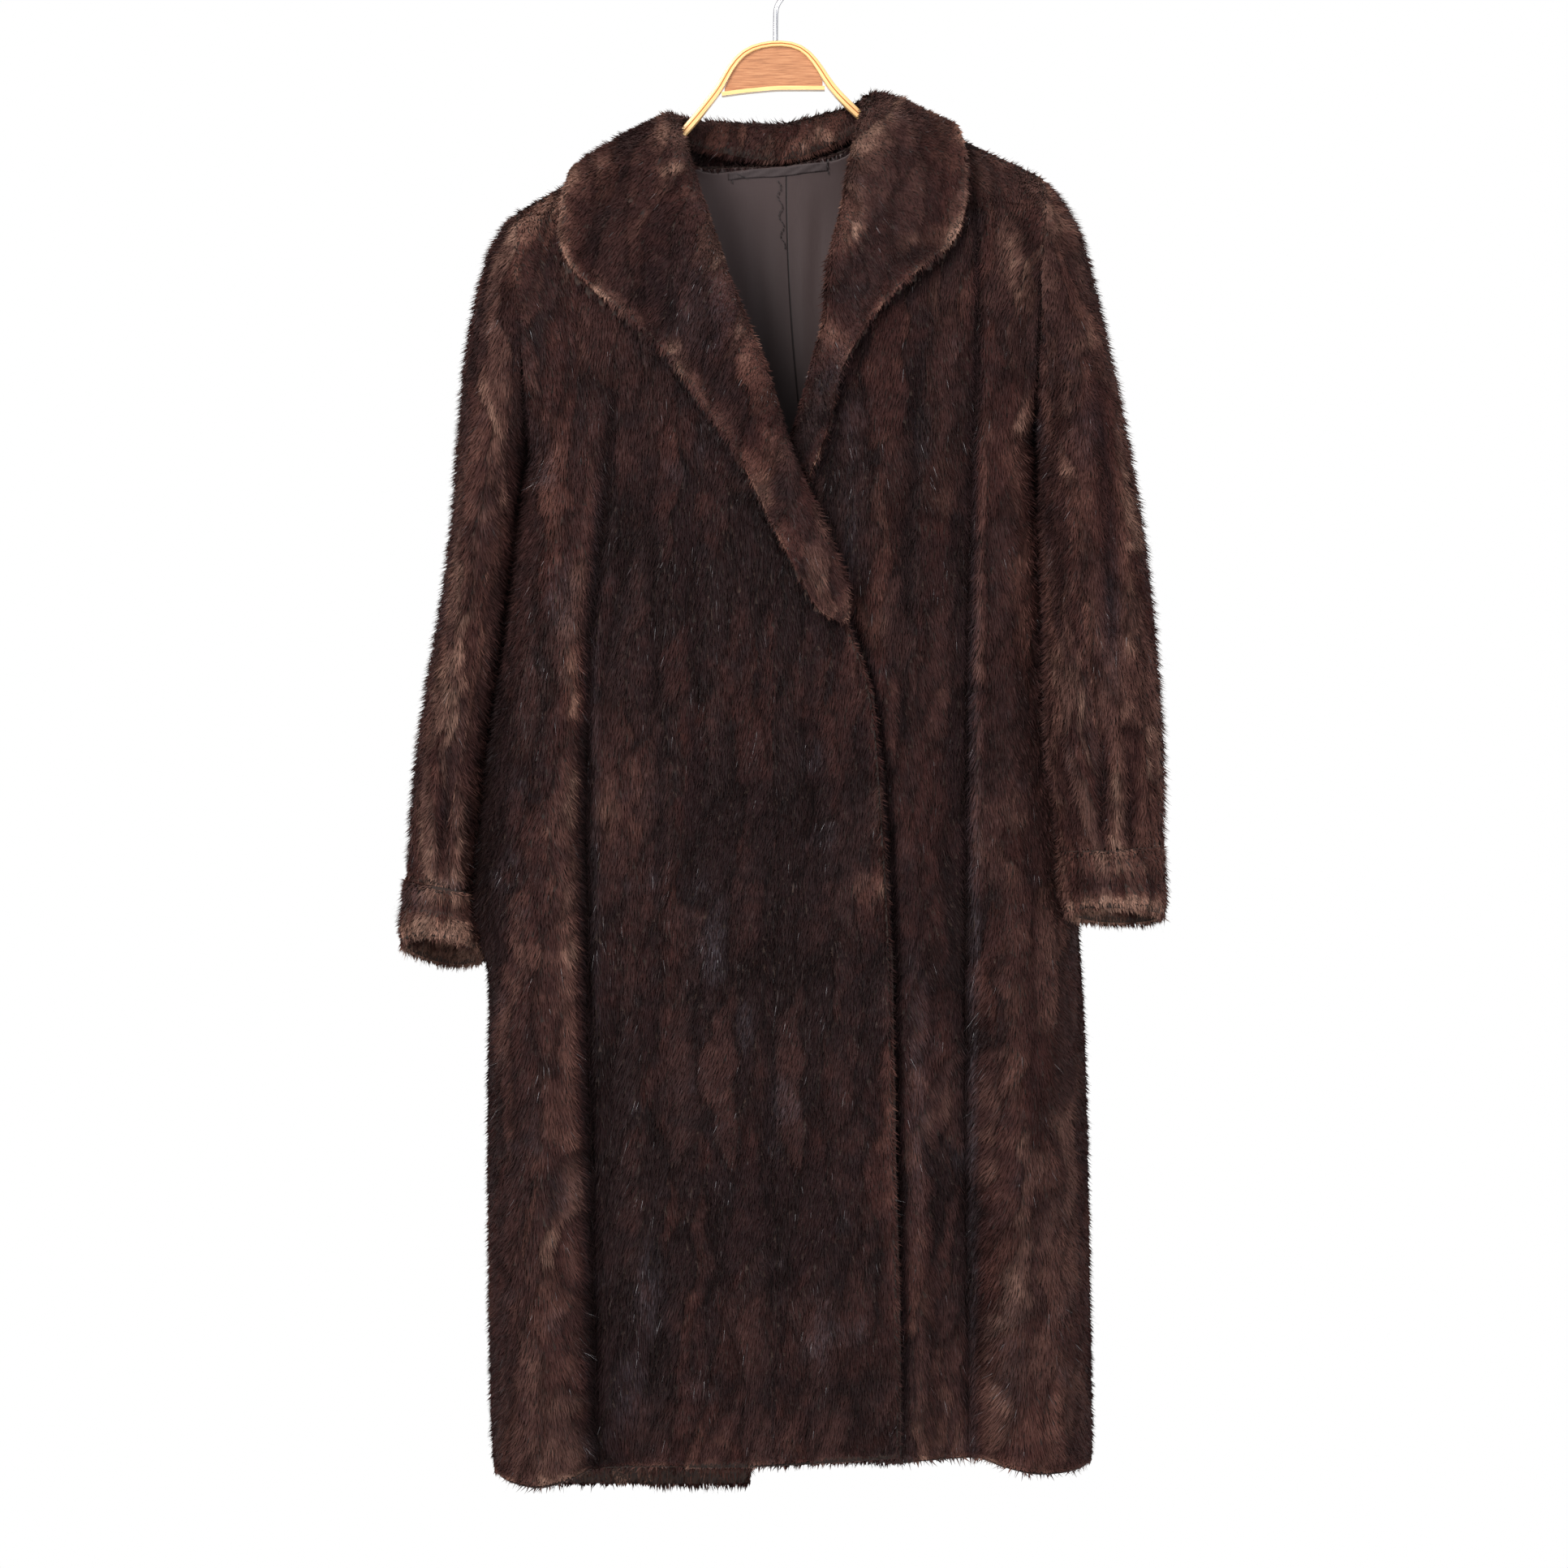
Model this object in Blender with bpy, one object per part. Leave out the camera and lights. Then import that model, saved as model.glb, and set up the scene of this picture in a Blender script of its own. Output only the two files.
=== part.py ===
"""Fur coat hung on a bentwood hanger: every cut piece of the garment as its own closed solid.

Metres, +Z up. The front faces -Y, the wall behind is at +Y. The origin is the inside of the
hook's top, where the hanger hangs. Right and left are the wearer's: the right front laps over.
Each table holds millimetres; a row is a level of the coat and a column is a line that runs
down it, so that one row can be moved without the others.
"""
import math

import bmesh
import bpy
import numpy as np
from mathutils import Vector
from mathutils.bvhtree import BVHTree

MM = 0.001

# Named sizes, in millimetres
FUR_WALL = 8.5        # pelt, fur and lining together
COLLAR_WALL = 9.0     # collar and lapels, fur on both faces
COLLAR_ROLL = 11.0    # radius of the roll along the collar's fold
LINING_WALL = 1.2
LINING_UP = 26.0      # the lining stops this far above the hem
SEAM_GAP = 0.3        # between two pieces that are sewn together
LAY_GAP = 1.2         # between two layers that only lie on each other
BOW_DEPTH = 10.0      # the bent strips of the hanger, front to back
BOW_THICK = 6.6       # at the arms
BOW_THIN = 4.6        # at the top of the arch
WEB_THICK = 4.0
RAIL_THICK = 3.2
WIRE = 4.4            # hook wire
HOOK_RADIUS = 18.0    # inside of the hook

# Levels of the front and back pieces, from the hem up to the underarm and round the armhole
SKIRT_STEPS = (2, 3, 2, 2, 2, 1, 1, 2)
ARMHOLE_ANGLES = np.arange(180.0, -1.0, -22.5)
ARMHOLE_KNOTS = (180.0, 135.0, 90.0, 45.0, 22.5, 0.0)

FRONT_RIGHT = [
    # side               ridge               valley              middle             edge
    [(-233, 8, -1259),  (-188, -76, -1262), (-147, -42, -1251), (-16, -56, -1247), (102, -60, -1239)],
    [(-236, 8, -1183),  (-190, -74, -1171), (-149, -41, -1176), (-20, -56, -1174), (102, -60, -1173)],
    [(-238, 7, -982),   (-193, -71, -975),  (-152, -42, -977),  (-26, -56, -976),  (97, -60, -976)],
    [(-236, 6, -834),   (-192, -68, -831),  (-154, -44, -832),  (-29, -57, -831),  (95, -61, -838)],
    [(-227, 5, -713),   (-188, -66, -713),  (-154, -48, -713),  (-33, -58, -713),  (88, -62, -713)],
    [(-220, 4, -613),   (-183, -64, -614),  (-148, -52, -614),  (-34, -60, -614),  (80, -64, -614)],
    [(-214, 3, -539),   (-179, -62, -543),  (-143, -54, -548),  (-36, -62, -554),  (63, -65, -568)],
    [(-208, 2, -472),   (-173, -61, -480),  (-138, -56, -486),  (-46, -64, -496),  (39, -67, -511)],
    [(-202, 0, -418),   (-168, -60, -425),  (-133, -58, -429),  (-57, -64, -433),  (8, -67, -438)],
    [(-200, -44, -393), (-167, -61, -393),  (-130, -60, -389),  (-66, -64, -382),  (-11, -66, -378)],
    [(-202, -62, -324), (-167, -62, -322),  (-130, -61, -318),  (-82, -62, -313),  (-38, -60, -309)],
    [(-206, -44, -252), (-172, -47, -247),  (-136, -49, -240),  (-96, -49, -232),  (-67, -47, -228)],
    [(-209, -24, -228), (-175, -27, -211),  (-141, -29, -195),  (-109, -31, -179), (-85, -32, -169)],
    [(-211, 0, -217),   (-178, 0, -197),    (-149, 0, -181),    (-119, 0, -163),   (-92, 0, -147)],
]
FRONT_RIGHT_STEPS = (4, 4, 8, 6)

FRONT_LEFT = [
    # side               ridge              valley
    # chest              middle             edge
    [(263, 8, -1251),   (210, -73, -1251), (166, -36, -1243),
     (104, -47, -1245), (30, -45, -1241),  (-69, -43, -1239)],
    [(262, 8, -1183),   (208, -71, -1171), (166, -36, -1177),
     (104, -48, -1175), (30, -45, -1175),  (-69, -43, -1176)],
    [(259, 8, -982),    (205, -68, -975),  (164, -36, -978),
     (99, -48, -977),   (30, -45, -977),   (-68, -43, -977)],
    [(254, 14, -834),   (201, -54, -831),  (163, -38, -832),
     (97, -49, -832),   (30, -46, -832),   (-65, -44, -832)],
    [(240, 16, -713),   (195, -44, -713),  (162, -40, -713),
     (91, -50, -713),   (30, -47, -713),   (-61, -46, -713)],
    [(230, 16, -612),   (191, -44, -614),  (162, -42, -614),
     (84, -52, -614),   (23, -48, -614),   (-51, -46, -614)],
    [(223, 13, -538),   (188, -47, -544),  (163, -44, -548),
     (86, -53, -551),   (20, -48, -553),   (-39, -46, -554)],
    [(216, 10, -471),   (187, -49, -479),  (164, -46, -482),
     (96, -54, -489),   (36, -48, -495),   (-18, -44, -501)],
    [(212, 0, -405),    (187, -53, -413),  (166, -49, -416),
     (107, -54, -424),  (56, -49, -430),   (25, -44, -443)],
    [(211, -44, -378),  (188, -56, -380),  (168, -53, -379),
     (115, -56, -381),  (69, -55, -382),   (33, -50, -384)],
    [(212, -60, -305),  (192, -59, -304),  (169, -57, -303),
     (122, -58, -302),  (86, -58, -302),   (53, -55, -301)],
    [(216, -44, -228),  (194, -45, -227),  (170, -46, -224),
     (129, -47, -219),  (96, -46, -215),   (68, -44, -210)],
    [(219, -24, -202),  (195, -26, -194),  (171, -27, -183),
     (134, -28, -167),  (104, -29, -157),  (81, -29, -149)],
    [(220, 0, -189),    (197, 0, -177),    (172, 0, -166),
     (137, 0, -150),    (109, 0, -138),    (86, 0, -128)],
]
FRONT_LEFT_STEPS = (4, 4, 4, 4, 5)

BACK_RIGHT = [
    # side              quarter            half              low               centre
    [(-233, 8, -1259), (-180, 46, -1278), (-98, 40, -1277), (-58, 41, -1277), (-19, 45, -1277)],
    [(-236, 8, -1183), (-180, 46, -1189), (-98, 40, -1188), (-55, 41, -1188), (-14, 45, -1189)],
    [(-238, 7, -982),  (-179, 46, -985),  (-95, 39, -985),  (-48, 41, -985),  (-3, 44, -985)],
    [(-236, 6, -834),  (-177, 46, -836),  (-92, 38, -835),  (-41, 40, -836),  (5, 43, -836)],
    [(-227, 5, -713),  (-175, 46, -713),  (-88, 39, -713),  (-37, 41, -713),  (10, 43, -713)],
    [(-220, 4, -613),  (-172, 46, -612),  (-84, 41, -612),  (-33, 42, -612),  (14, 43, -612)],
    [(-214, 3, -539),  (-168, 46, -537),  (-77, 42, -537),  (-31, 42, -537),  (16, 43, -537)],
    [(-208, 2, -472),  (-163, 46, -469),  (-73, 43, -469),  (-29, 43, -469),  (16, 43, -469)],
    [(-202, 0, -418),  (-158, 46, -414),  (-70, 44, -415),  (-28, 43, -415),  (16, 43, -415)],
    [(-205, 36, -385), (-156, 46, -382),  (-70, 45, -381),  (-28, 44, -381),  (15, 43, -381)],
    [(-209, 48, -312), (-150, 47, -308),  (-73, 45, -304),  (-32, 44, -305),  (12, 43, -305)],
    [(-211, 36, -241), (-147, 42, -230),  (-80, 43, -219),  (-44, 43, -223),  (10, 42, -230)],
    [(-212, 20, -221), (-149, 28, -188),  (-86, 31, -163),  (-59, 37, -186),  (8, 41, -188)],
    [(-211, 0, -217),  (-149, 0, -181),   (-91, 0, -147),   (-66, 28, -173),  (7, 39, -173)],
]
BACK_LEFT = [
    # side             quarter           half              low              centre
    [(263, 8, -1251), (209, 46, -1254), (119, 40, -1251), (51, 41, -1250), (-12, 45, -1250)],
    [(262, 8, -1183), (209, 46, -1189), (119, 40, -1188), (52, 41, -1188), (-10, 45, -1189)],
    [(259, 8, -982),  (207, 46, -985),  (115, 39, -985),  (55, 41, -985),  (-0, 44, -985)],
    [(254, 14, -834), (203, 46, -836),  (112, 38, -835),  (58, 40, -836),  (6, 43, -836)],
    [(240, 16, -713), (194, 46, -713),  (105, 39, -713),  (58, 41, -713),  (11, 43, -713)],
    [(230, 16, -612), (184, 46, -612),  (101, 41, -612),  (58, 42, -612),  (16, 43, -612)],
    [(223, 13, -538), (177, 46, -537),  (98, 42, -537),   (58, 42, -537),  (17, 43, -537)],
    [(216, 10, -471), (172, 46, -469),  (96, 43, -469),   (56, 43, -469),  (18, 43, -469)],
    [(212, 0, -405),  (169, 46, -404),  (92, 44, -409),   (54, 43, -412),  (17, 43, -415)],
    [(216, 36, -370), (170, 46, -370),  (90, 45, -374),   (52, 44, -377),  (16, 43, -381)],
    [(220, 48, -292), (168, 47, -292),  (85, 45, -296),   (49, 44, -299),  (13, 43, -305)],
    [(221, 36, -217), (161, 42, -204),  (81, 43, -204),   (48, 43, -216),  (11, 42, -230)],
    [(222, 20, -196), (155, 28, -165),  (79, 31, -144),   (55, 37, -175),  (9, 41, -188)],
    [(220, 0, -189),  (153, 0, -156),   (86, 0, -128),    (62, 27, -158),  (9, 39, -173)],
]
BACK_STEPS = (4, 4, 2, 4)

# Sleeves: one row a ring, from the armhole to the cuff seam
SLEEVE_RIGHT = [
    # outer x, z    inner x, z    y mid  front  back
    (-211, -217, -202, -418, 0, 62, 48),
    (-224, -227, -203, -422, -1, 62, 48),
    (-235, -246, -205, -429, -2, 61, 48),
    (-242, -269, -207, -440, -2, 60, 48),
    (-249, -299, -209, -456, -2, 58, 47),
    (-256, -336, -212, -477, -2, 56, 46),
    (-260, -380, -214, -502, -2, 54, 45),
    (-264, -433, -218, -530, -2, 52, 44),
    (-267, -480, -221, -562, -1, 50, 44),
    (-275, -534, -226, -595, -1, 48, 43),
    (-283, -581, -231, -627, -1, 48, 43),
    (-291, -625, -236, -658, -1, 47, 43),
    (-297, -666, -239, -688, -1, 46, 42),
    (-301, -705, -241, -716, -1, 44, 41),
    (-303, -740, -243, -747, -1, 41, 39),
    (-305, -769, -248, -777, -1, 37, 35),
]
SLEEVE_LEFT = [
    # outer x, z    inner x, z    y mid  front  back
    (220, -189, 212, -405, 0, 60, 48),
    (232, -200, 213, -409, -3, 60, 47),
    (244, -217, 213, -418, -6, 58, 46),
    (254, -242, 214, -430, -10, 56, 45),
    (261, -270, 215, -446, -16, 54, 43),
    (268, -303, 216, -467, -23, 50, 41),
    (275, -337, 216, -490, -31, 46, 40),
    (283, -377, 217, -516, -38, 43, 37),
    (290, -418, 218, -544, -44, 41, 36),
    (298, -465, 218, -574, -49, 39, 35),
    (305, -515, 218, -605, -52, 38, 35),
    (310, -563, 218, -634, -54, 38, 35),
    (314, -614, 219, -661, -55, 38, 34),
    (318, -663, 222, -688, -55, 37, 34),
    (318, -706, 226, -715, -55, 35, 33),
    (316, -739, 230, -743, -55, 31, 29),
]
SLEEVE_AROUND = 32
GATHERS = 8           # folds round the sleeve above the cuff
GATHER_DEPTH = 3.5

# Cuffs: the last column is the slope of the opening, lower at the back
CUFF_RIGHT = [
    # outer x, z    inner x, z    y mid  front  back
    (-305, -769, -248, -778, -1, 37, 35, 0.00),
    (-308, -779, -244, -787, -1, 41, 39, 0.05),
    (-311, -795, -241, -801, -1, 43, 41, 0.15),
    (-312, -810, -238, -815, -1, 44, 42, 0.25),
    (-311, -826, -237, -834, -1, 43, 41, 0.30),
]
CUFF_LEFT = [
    # outer x, z    inner x, z    y mid  front  back
    (316, -740, 230, -744, -55, 31, 29, 0.00),
    (318, -748, 228, -752, -55, 35, 32, 0.04),
    (319, -764, 229, -768, -55, 37, 34, 0.10),
    (321, -781, 230, -783, -55, 38, 35, 0.16),
    (318, -801, 234, -798, -55, 37, 34, 0.20),
]
CUFF_AROUND = 24

# Collar: one row a station, from the right lapel's foot round the neck to the left lapel's.
# turn is how far the roll bends, return is the stand inside it, first is where the leaf
# begins to lie on the coat.
COLLAR = [
    # roll line           outer edge          turn  return  first
    ((65, -66, -551), (54, -75, -560), 40, 0, 12),
    ((60, -64, -526), (36, -75, -554), 80, 6, 14),
    ((49, -65, -498), (21, -75, -525), 90, 8, 14),
    ((39, -66, -475), (9, -75, -503), 90, 8, 14),
    ((28, -66, -449), (-6, -75, -474), 90, 8, 14),
    ((15, -66, -417), (-26, -75, -433), 90, 8, 14),
    ((2, -65, -371), (-57, -74, -387), 90, 8, 14),
    ((-16, -62, -325), (-93, -72, -338), 90, 8, 14),
    ((-32, -58, -285), (-137, -71, -299), 90, 8, 14),
    ((-45, -51, -245), (-169, -68, -268), 90, 8, 14),
    ((-58, -44, -208), (-176, -58, -242), 92, 8, 14),
    ((-68, -36, -176), (-174, -45, -220), 100, 9, 14),
    ((-74, -22, -154), (-170, -24, -200), 105, 5, 16),
    ((-79, -2, -139), (-163, 0, -185), 112, 1, 22),
    ((-69, 17, -138), (-154, 30, -190), 150, 8, 34),
    ((-51, 31, -134), (-105, 46, -212), 170, 21, 52),
    ((3, 34, -136), (2, 50, -226), 176, 25, 56),
    ((45, 31, -126), (89, 46, -201), 170, 21, 52),
    ((65, 17, -125), (140, 30, -168), 150, 8, 34),
    ((72, -2, -124), (147, 0, -148), 112, 1, 22),
    ((68, -20, -139), (152, -24, -170), 105, 5, 16),
    ((62, -34, -161), (155, -45, -195), 100, 9, 14),
    ((58, -42, -188), (155, -56, -226), 92, 8, 14),
    ((52, -49, -221), (144, -64, -254), 90, 8, 14),
    ((44, -54, -250), (120, -68, -271), 90, 8, 14),
    ((39, -57, -282), (93, -70, -296), 90, 8, 14),
    ((38, -56, -311), (74, -69, -319), 90, 8, 14),
    ((30, -54, -339), (57, -66, -347), 90, 8, 14),
    ((22, -50, -369), (49, -62, -375), 90, 8, 14),
    ((14, -46, -396), (42, -58, -413), 90, 8, 14),
    ((5, -43, -426), (26, -54, -445), 90, 7, 14),
]
COLLAR_STEPS = 54
LEAF_POINTS = 7
ROLL_POINTS = 5

# Hanger: the middle line of the bent strip, x and z
BOW = [
    (-187, -222), (-176, -217), (-161, -209), (-141, -199), (-123, -189), (-104, -178), (-87, -164),
    (-70, -146), (-56, -129), (-44, -113), (-38, -101), (-25, -86), (-13, -81), (1, -79),
    (15, -80), (25, -85), (36, -98), (46, -114), (58, -127), (72, -140), (89, -153),
    (108, -162), (129, -171), (151, -181), (172, -190), (190, -197), (203, -203),
]
RAIL = [
    (-44, -121), (-20, -118), (7, -116), (41, -116),
]

# Hook: the wire's stem from the bow up, x and z, then the round of the hook in degrees
HOOK_STEM = [(0.4, -76.4), (0.4, -60.0), (0.8, -48.0), (6.5, -40.5)]
HOOK_ROUND = (-46.0, 204.0)


def clear_scene():
    for obj in list(bpy.data.objects):
        bpy.data.objects.remove(obj, do_unlink=True)


def hermite(knots, values, where):
    """Smooth curve through rows of values that never overshoots them."""
    knots = np.asarray(knots, float)
    values = np.asarray(values, float)
    flat = values.reshape(len(knots), -1)
    step = np.diff(knots)[:, None]
    slope = np.diff(flat, axis=0) / step
    tangent = np.zeros_like(flat)
    tangent[0] = slope[0]
    tangent[-1] = slope[-1]
    product = slope[:-1] * slope[1:]
    same = product > 0
    total = np.where(same, slope[:-1] + slope[1:], 1.0)
    tangent[1:-1] = np.where(same, 2 * product / total, 0.0)
    where = np.asarray(where, float)
    cell = np.clip(np.searchsorted(knots, where, side="right") - 1, 0, len(knots) - 2)
    width = np.diff(knots)[cell]
    t = ((where - knots[cell]) / width)[:, None]
    width = width[:, None]
    result = (
        (2 * t**3 - 3 * t**2 + 1) * flat[cell]
        + (t**3 - 2 * t**2 + t) * width * tangent[cell]
        + (3 * t**2 - 2 * t**3) * flat[cell + 1]
        + (t**3 - t**2) * width * tangent[cell + 1]
    )
    return result.reshape((len(where),) + values.shape[1:])


def unit(vectors):
    length = np.linalg.norm(vectors, axis=-1, keepdims=True)
    return vectors / np.maximum(length, 1e-12)


def grid_normals(grid, outside, closed=False):
    """Normals of a grid of points; outside is a rough direction that they must agree with."""
    if closed:
        across = np.roll(grid, -1, axis=1) - np.roll(grid, 1, axis=1)
    else:
        across = np.gradient(grid, axis=1)
    down = np.gradient(grid, axis=0)
    normal = unit(np.cross(across, down))
    if np.sum(normal * outside) < 0:
        normal = -normal
    return normal


def smooth_rows(table, columns):
    """Resample the table's rows: the skirt evenly, the armhole by its angle."""
    table = np.asarray(table, float)
    top = len(ARMHOLE_KNOTS)
    skirt = table[: len(table) - top + 1]
    yoke = table[len(table) - top :]
    levels = np.concatenate([[0.0], np.cumsum(np.abs(np.diff(skirt[:, :, 2].mean(axis=1))))])
    where = []
    for i, count in enumerate(SKIRT_STEPS):
        where.extend(levels[i] + (levels[i + 1] - levels[i]) * np.arange(count) / count)
    lower = hermite(levels, skirt, where)
    angles = -np.asarray(ARMHOLE_KNOTS)
    upper = hermite(angles, yoke, -ARMHOLE_ANGLES)
    return np.concatenate([lower, upper])


def armhole_point(sleeve, angle, front):
    """Point of the armhole's oval, 0 degrees at the shoulder and 180 at the underarm."""
    outer_x, outer_z, inner_x, inner_z, middle, half_front, half_back = sleeve[0][:7]
    turn = math.radians(angle)
    x = (outer_x + inner_x) / 2 + math.cos(turn) * (outer_x - inner_x) / 2
    z = (outer_z + inner_z) / 2 + math.cos(turn) * (outer_z - inner_z) / 2
    depth = -half_front if front else half_back
    return np.array([x, middle + depth * math.sin(turn), z])


def armhole_inside(sleeve, angle, front):
    """The same point on the lining side: inward in the oval, and under the arm into the body."""
    height = abs(sleeve[0][1] - sleeve[0][3]) / 2
    depth = sleeve[0][5] if front else sleeve[0][6]
    turn = math.radians(angle)
    radial = unit(np.array([0.0, math.sin(turn) / depth, math.cos(turn) / height]))
    if front:
        radial[1] = -radial[1]
    under = max(0.0, (angle - 112.5) / 67.5)
    toward_body = 1.0 if sleeve[0][0] < 0 else -1.0
    point = armhole_point(sleeve, angle, front) - FUR_WALL * radial
    point[0] += toward_body * FUR_WALL * under
    return point


def front_outer(table, steps, sleeve):
    """Fur side of a front: a rolled side, a standing fold, a crease and the flat middle."""
    rows = smooth_rows(table, len(steps))
    first = len(rows) - len(ARMHOLE_ANGLES)
    for i, angle in enumerate(ARMHOLE_ANGLES):
        rows[first + i, 0] = armhole_point(sleeve, angle, True)
    grid = []
    lean = math.radians(75.0)
    for row in rows:
        along = np.concatenate([[0.0], np.cumsum(np.abs(np.diff(row[:, 0])))])
        points = []
        for k, count in enumerate(steps):
            a, b = row[k], row[k + 1]
            for j in range(count):
                t = j / count
                if k == 0:
                    turn = t * math.pi / 2
                    s = 1 - math.cos(turn)
                    point = a + (b - a) * np.array([s, math.sin(turn), s])
                elif k == 1:
                    turn = t * lean
                    s = math.sin(turn) / math.sin(lean)
                    drop = (1 - math.cos(turn)) / (1 - math.cos(lean))
                    point = a + (b - a) * np.array([s, drop, s])
                else:
                    where = along[k] + (along[k + 1] - along[k]) * t
                    point = hermite(along, row, [where])[0]
                points.append(point)
        points.append(row[-1])
        grid.append(points)
    return np.array(grid)


def back_outer(table, sleeve):
    rows = smooth_rows(table, len(BACK_STEPS))
    first = len(rows) - len(ARMHOLE_ANGLES)
    for i, angle in enumerate(ARMHOLE_ANGLES):
        rows[first + i, 0] = armhole_point(sleeve, angle, False)
    grid = []
    for row in rows:
        along = np.concatenate([[0.0], np.cumsum(np.abs(np.diff(row[:, 0])))])
        points = []
        for k, count in enumerate(BACK_STEPS):
            for j in range(count):
                t = j / count
                if k == 0:
                    turn = t * math.pi / 2
                    s = 1 - math.cos(turn)
                    point = row[0] + (row[1] - row[0]) * np.array([s, math.sin(turn), s])
                else:
                    where = along[k] + (along[k + 1] - along[k]) * t
                    point = hermite(along, row, [where])[0]
                points.append(point)
        points.append(row[-1])
        grid.append(points)
    return np.array(grid)


def join_normals(first, second, line_a, line_b):
    """Give two pieces the same normals along the seam that they share."""
    shared = unit(first[line_a] + second[line_b])
    first[line_a] = shared
    second[line_b] = shared


def draw_back(outer, inner, line, neighbour, distance):
    """Move one edge of a piece off the seam, into the piece."""
    for grid in (outer, inner):
        step = unit(grid[neighbour] - grid[line])
        grid[line] = grid[line] + step * distance


def solid(name, outer, inner, closed=False, ends=True):
    """One closed body between two grids of points."""
    rows, cols = outer.shape[:2]
    mesh = bmesh.new()
    shell = []
    for grid in (outer, inner):
        shell.append([[mesh.verts.new(Vector(p) * MM) for p in row] for row in grid])
    last = cols if closed else cols - 1
    for side in shell:
        for i in range(rows - 1):
            for j in range(last):
                k = (j + 1) % cols
                mesh.faces.new((side[i][j], side[i][k], side[i + 1][k], side[i + 1][j]))
    top, under = shell
    for i in (0, rows - 1):
        for j in range(last):
            k = (j + 1) % cols
            mesh.faces.new((top[i][j], under[i][j], under[i][k], top[i][k]))
    if not closed:
        for j in (0, cols - 1):
            for i in range(rows - 1):
                mesh.faces.new((top[i][j], top[i + 1][j], under[i + 1][j], under[i][j]))
    bmesh.ops.recalc_face_normals(mesh, faces=mesh.faces)
    return finish(name, mesh)


def finish(name, mesh):
    data = bpy.data.meshes.new(name)
    mesh.to_mesh(data)
    mesh.free()
    obj = bpy.data.objects.new(name, data)
    coat.objects.link(obj)
    return obj


def material(name, colour, roughness, metallic=0.0):
    made = bpy.data.materials.new(name)
    made.use_nodes = True
    shader = made.node_tree.nodes["Principled BSDF"]
    shader.inputs["Base Color"].default_value = (*colour, 1.0)
    shader.inputs["Roughness"].default_value = roughness
    shader.inputs["Metallic"].default_value = metallic
    return made


def dress(obj, made):
    obj.data.materials.append(made)


def surface_tree(*grids):
    """Search tree over the fur side of some pieces."""
    points, faces = [], []
    for grid in grids:
        rows, cols = grid.shape[:2]
        base = len(points)
        points.extend(Vector(p) for p in grid.reshape(-1, 3))
        for i in range(rows - 1):
            for j in range(cols - 1):
                a = base + i * cols + j
                faces.append((a, a + 1, a + cols + 1, a + cols))
    return BVHTree.FromPolygons(points, faces)


def lay_behind(grid, tree, wall):
    """Move a piece back wherever another one lies in front of it."""
    for point in grid.reshape(-1, 3):
        hit = tree.ray_cast(Vector((point[0], -400.0, point[2])), Vector((0.0, 1.0, 0.0)))[0]
        if hit is not None:
            point[1] = max(point[1], hit[1] + wall)
    return grid


clear_scene()
coat = bpy.data.collections.new("fur_coat")
bpy.context.scene.collection.children.link(coat)

brown_mink = material("brown_mink", (0.055, 0.032, 0.024), 0.8)
grey_satin = material("grey_satin", (0.085, 0.066, 0.062), 0.5)
pale_beech = material("pale_beech", (0.78, 0.46, 0.18), 0.4)
brown_veneer = material("brown_veneer", (0.42, 0.2, 0.08), 0.35)
bright_steel = material("bright_steel", (0.8, 0.8, 0.8), 0.25, 1.0)

# Body: two fronts and two backs

front_right = front_outer(FRONT_RIGHT, FRONT_RIGHT_STEPS, SLEEVE_RIGHT)
front_left = front_outer(FRONT_LEFT, FRONT_LEFT_STEPS, SLEEVE_LEFT)
back_right = back_outer(BACK_RIGHT, SLEEVE_RIGHT)
back_left = back_outer(BACK_LEFT, SLEEVE_LEFT)

front = np.array([0.0, -1.0, 0.0])
n_front_right = grid_normals(front_right, front)
n_back_right = grid_normals(back_right, -front)
n_back_left = grid_normals(back_left, -front)

# The left front lies behind the right one
right_inner = front_right - n_front_right * FUR_WALL
lay_behind(front_left, surface_tree(right_inner), LAY_GAP + 0.4)
n_front_left = grid_normals(front_left, front)

side = (slice(None), 0)
shoulder = (-1, slice(None))
join_normals(n_front_right, n_back_right, side, side)
join_normals(n_front_left, n_back_left, side, side)
join_normals(n_back_right, n_back_left, (slice(None), -1), (slice(None), -1))


def shoulder_normals(normals, grid):
    """Over the hanger the fur faces straight out of the shoulder line."""
    along = np.gradient(grid[-1], axis=0)
    up = unit(np.cross(along, np.array([0.0, 1.0, 0.0])))
    if up[:, 2].mean() < 0:
        up = -up
    normals[-1] = up


HALF = BACK_STEPS[0] + BACK_STEPS[1]
shoulder_normals(n_front_right, front_right)
shoulder_normals(n_front_left, front_left)
for normals, grid in ((n_back_right, back_right), (n_back_left, back_left)):
    kept = normals[-1].copy()
    shoulder_normals(normals, grid)
    blend = np.clip((np.arange(grid.shape[1]) - HALF) / 3.0, 0.0, 1.0)[:, None]
    normals[-1] = unit(normals[-1] * (1 - blend) + kept * blend)

body = {}
for name, outer, normals, sleeve, is_front in (
    ("front_right", front_right, n_front_right, SLEEVE_RIGHT, True),
    ("front_left", front_left, n_front_left, SLEEVE_LEFT, True),
    ("back_right", back_right, n_back_right, SLEEVE_RIGHT, False),
    ("back_left", back_left, n_back_left, SLEEVE_LEFT, False),
):
    inner = outer - normals * FUR_WALL
    first = len(outer) - len(ARMHOLE_ANGLES)
    for i, angle in enumerate(ARMHOLE_ANGLES):
        inner[first + i, 0] = armhole_inside(sleeve, angle, is_front)
    body[name] = (outer.copy(), inner)

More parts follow.
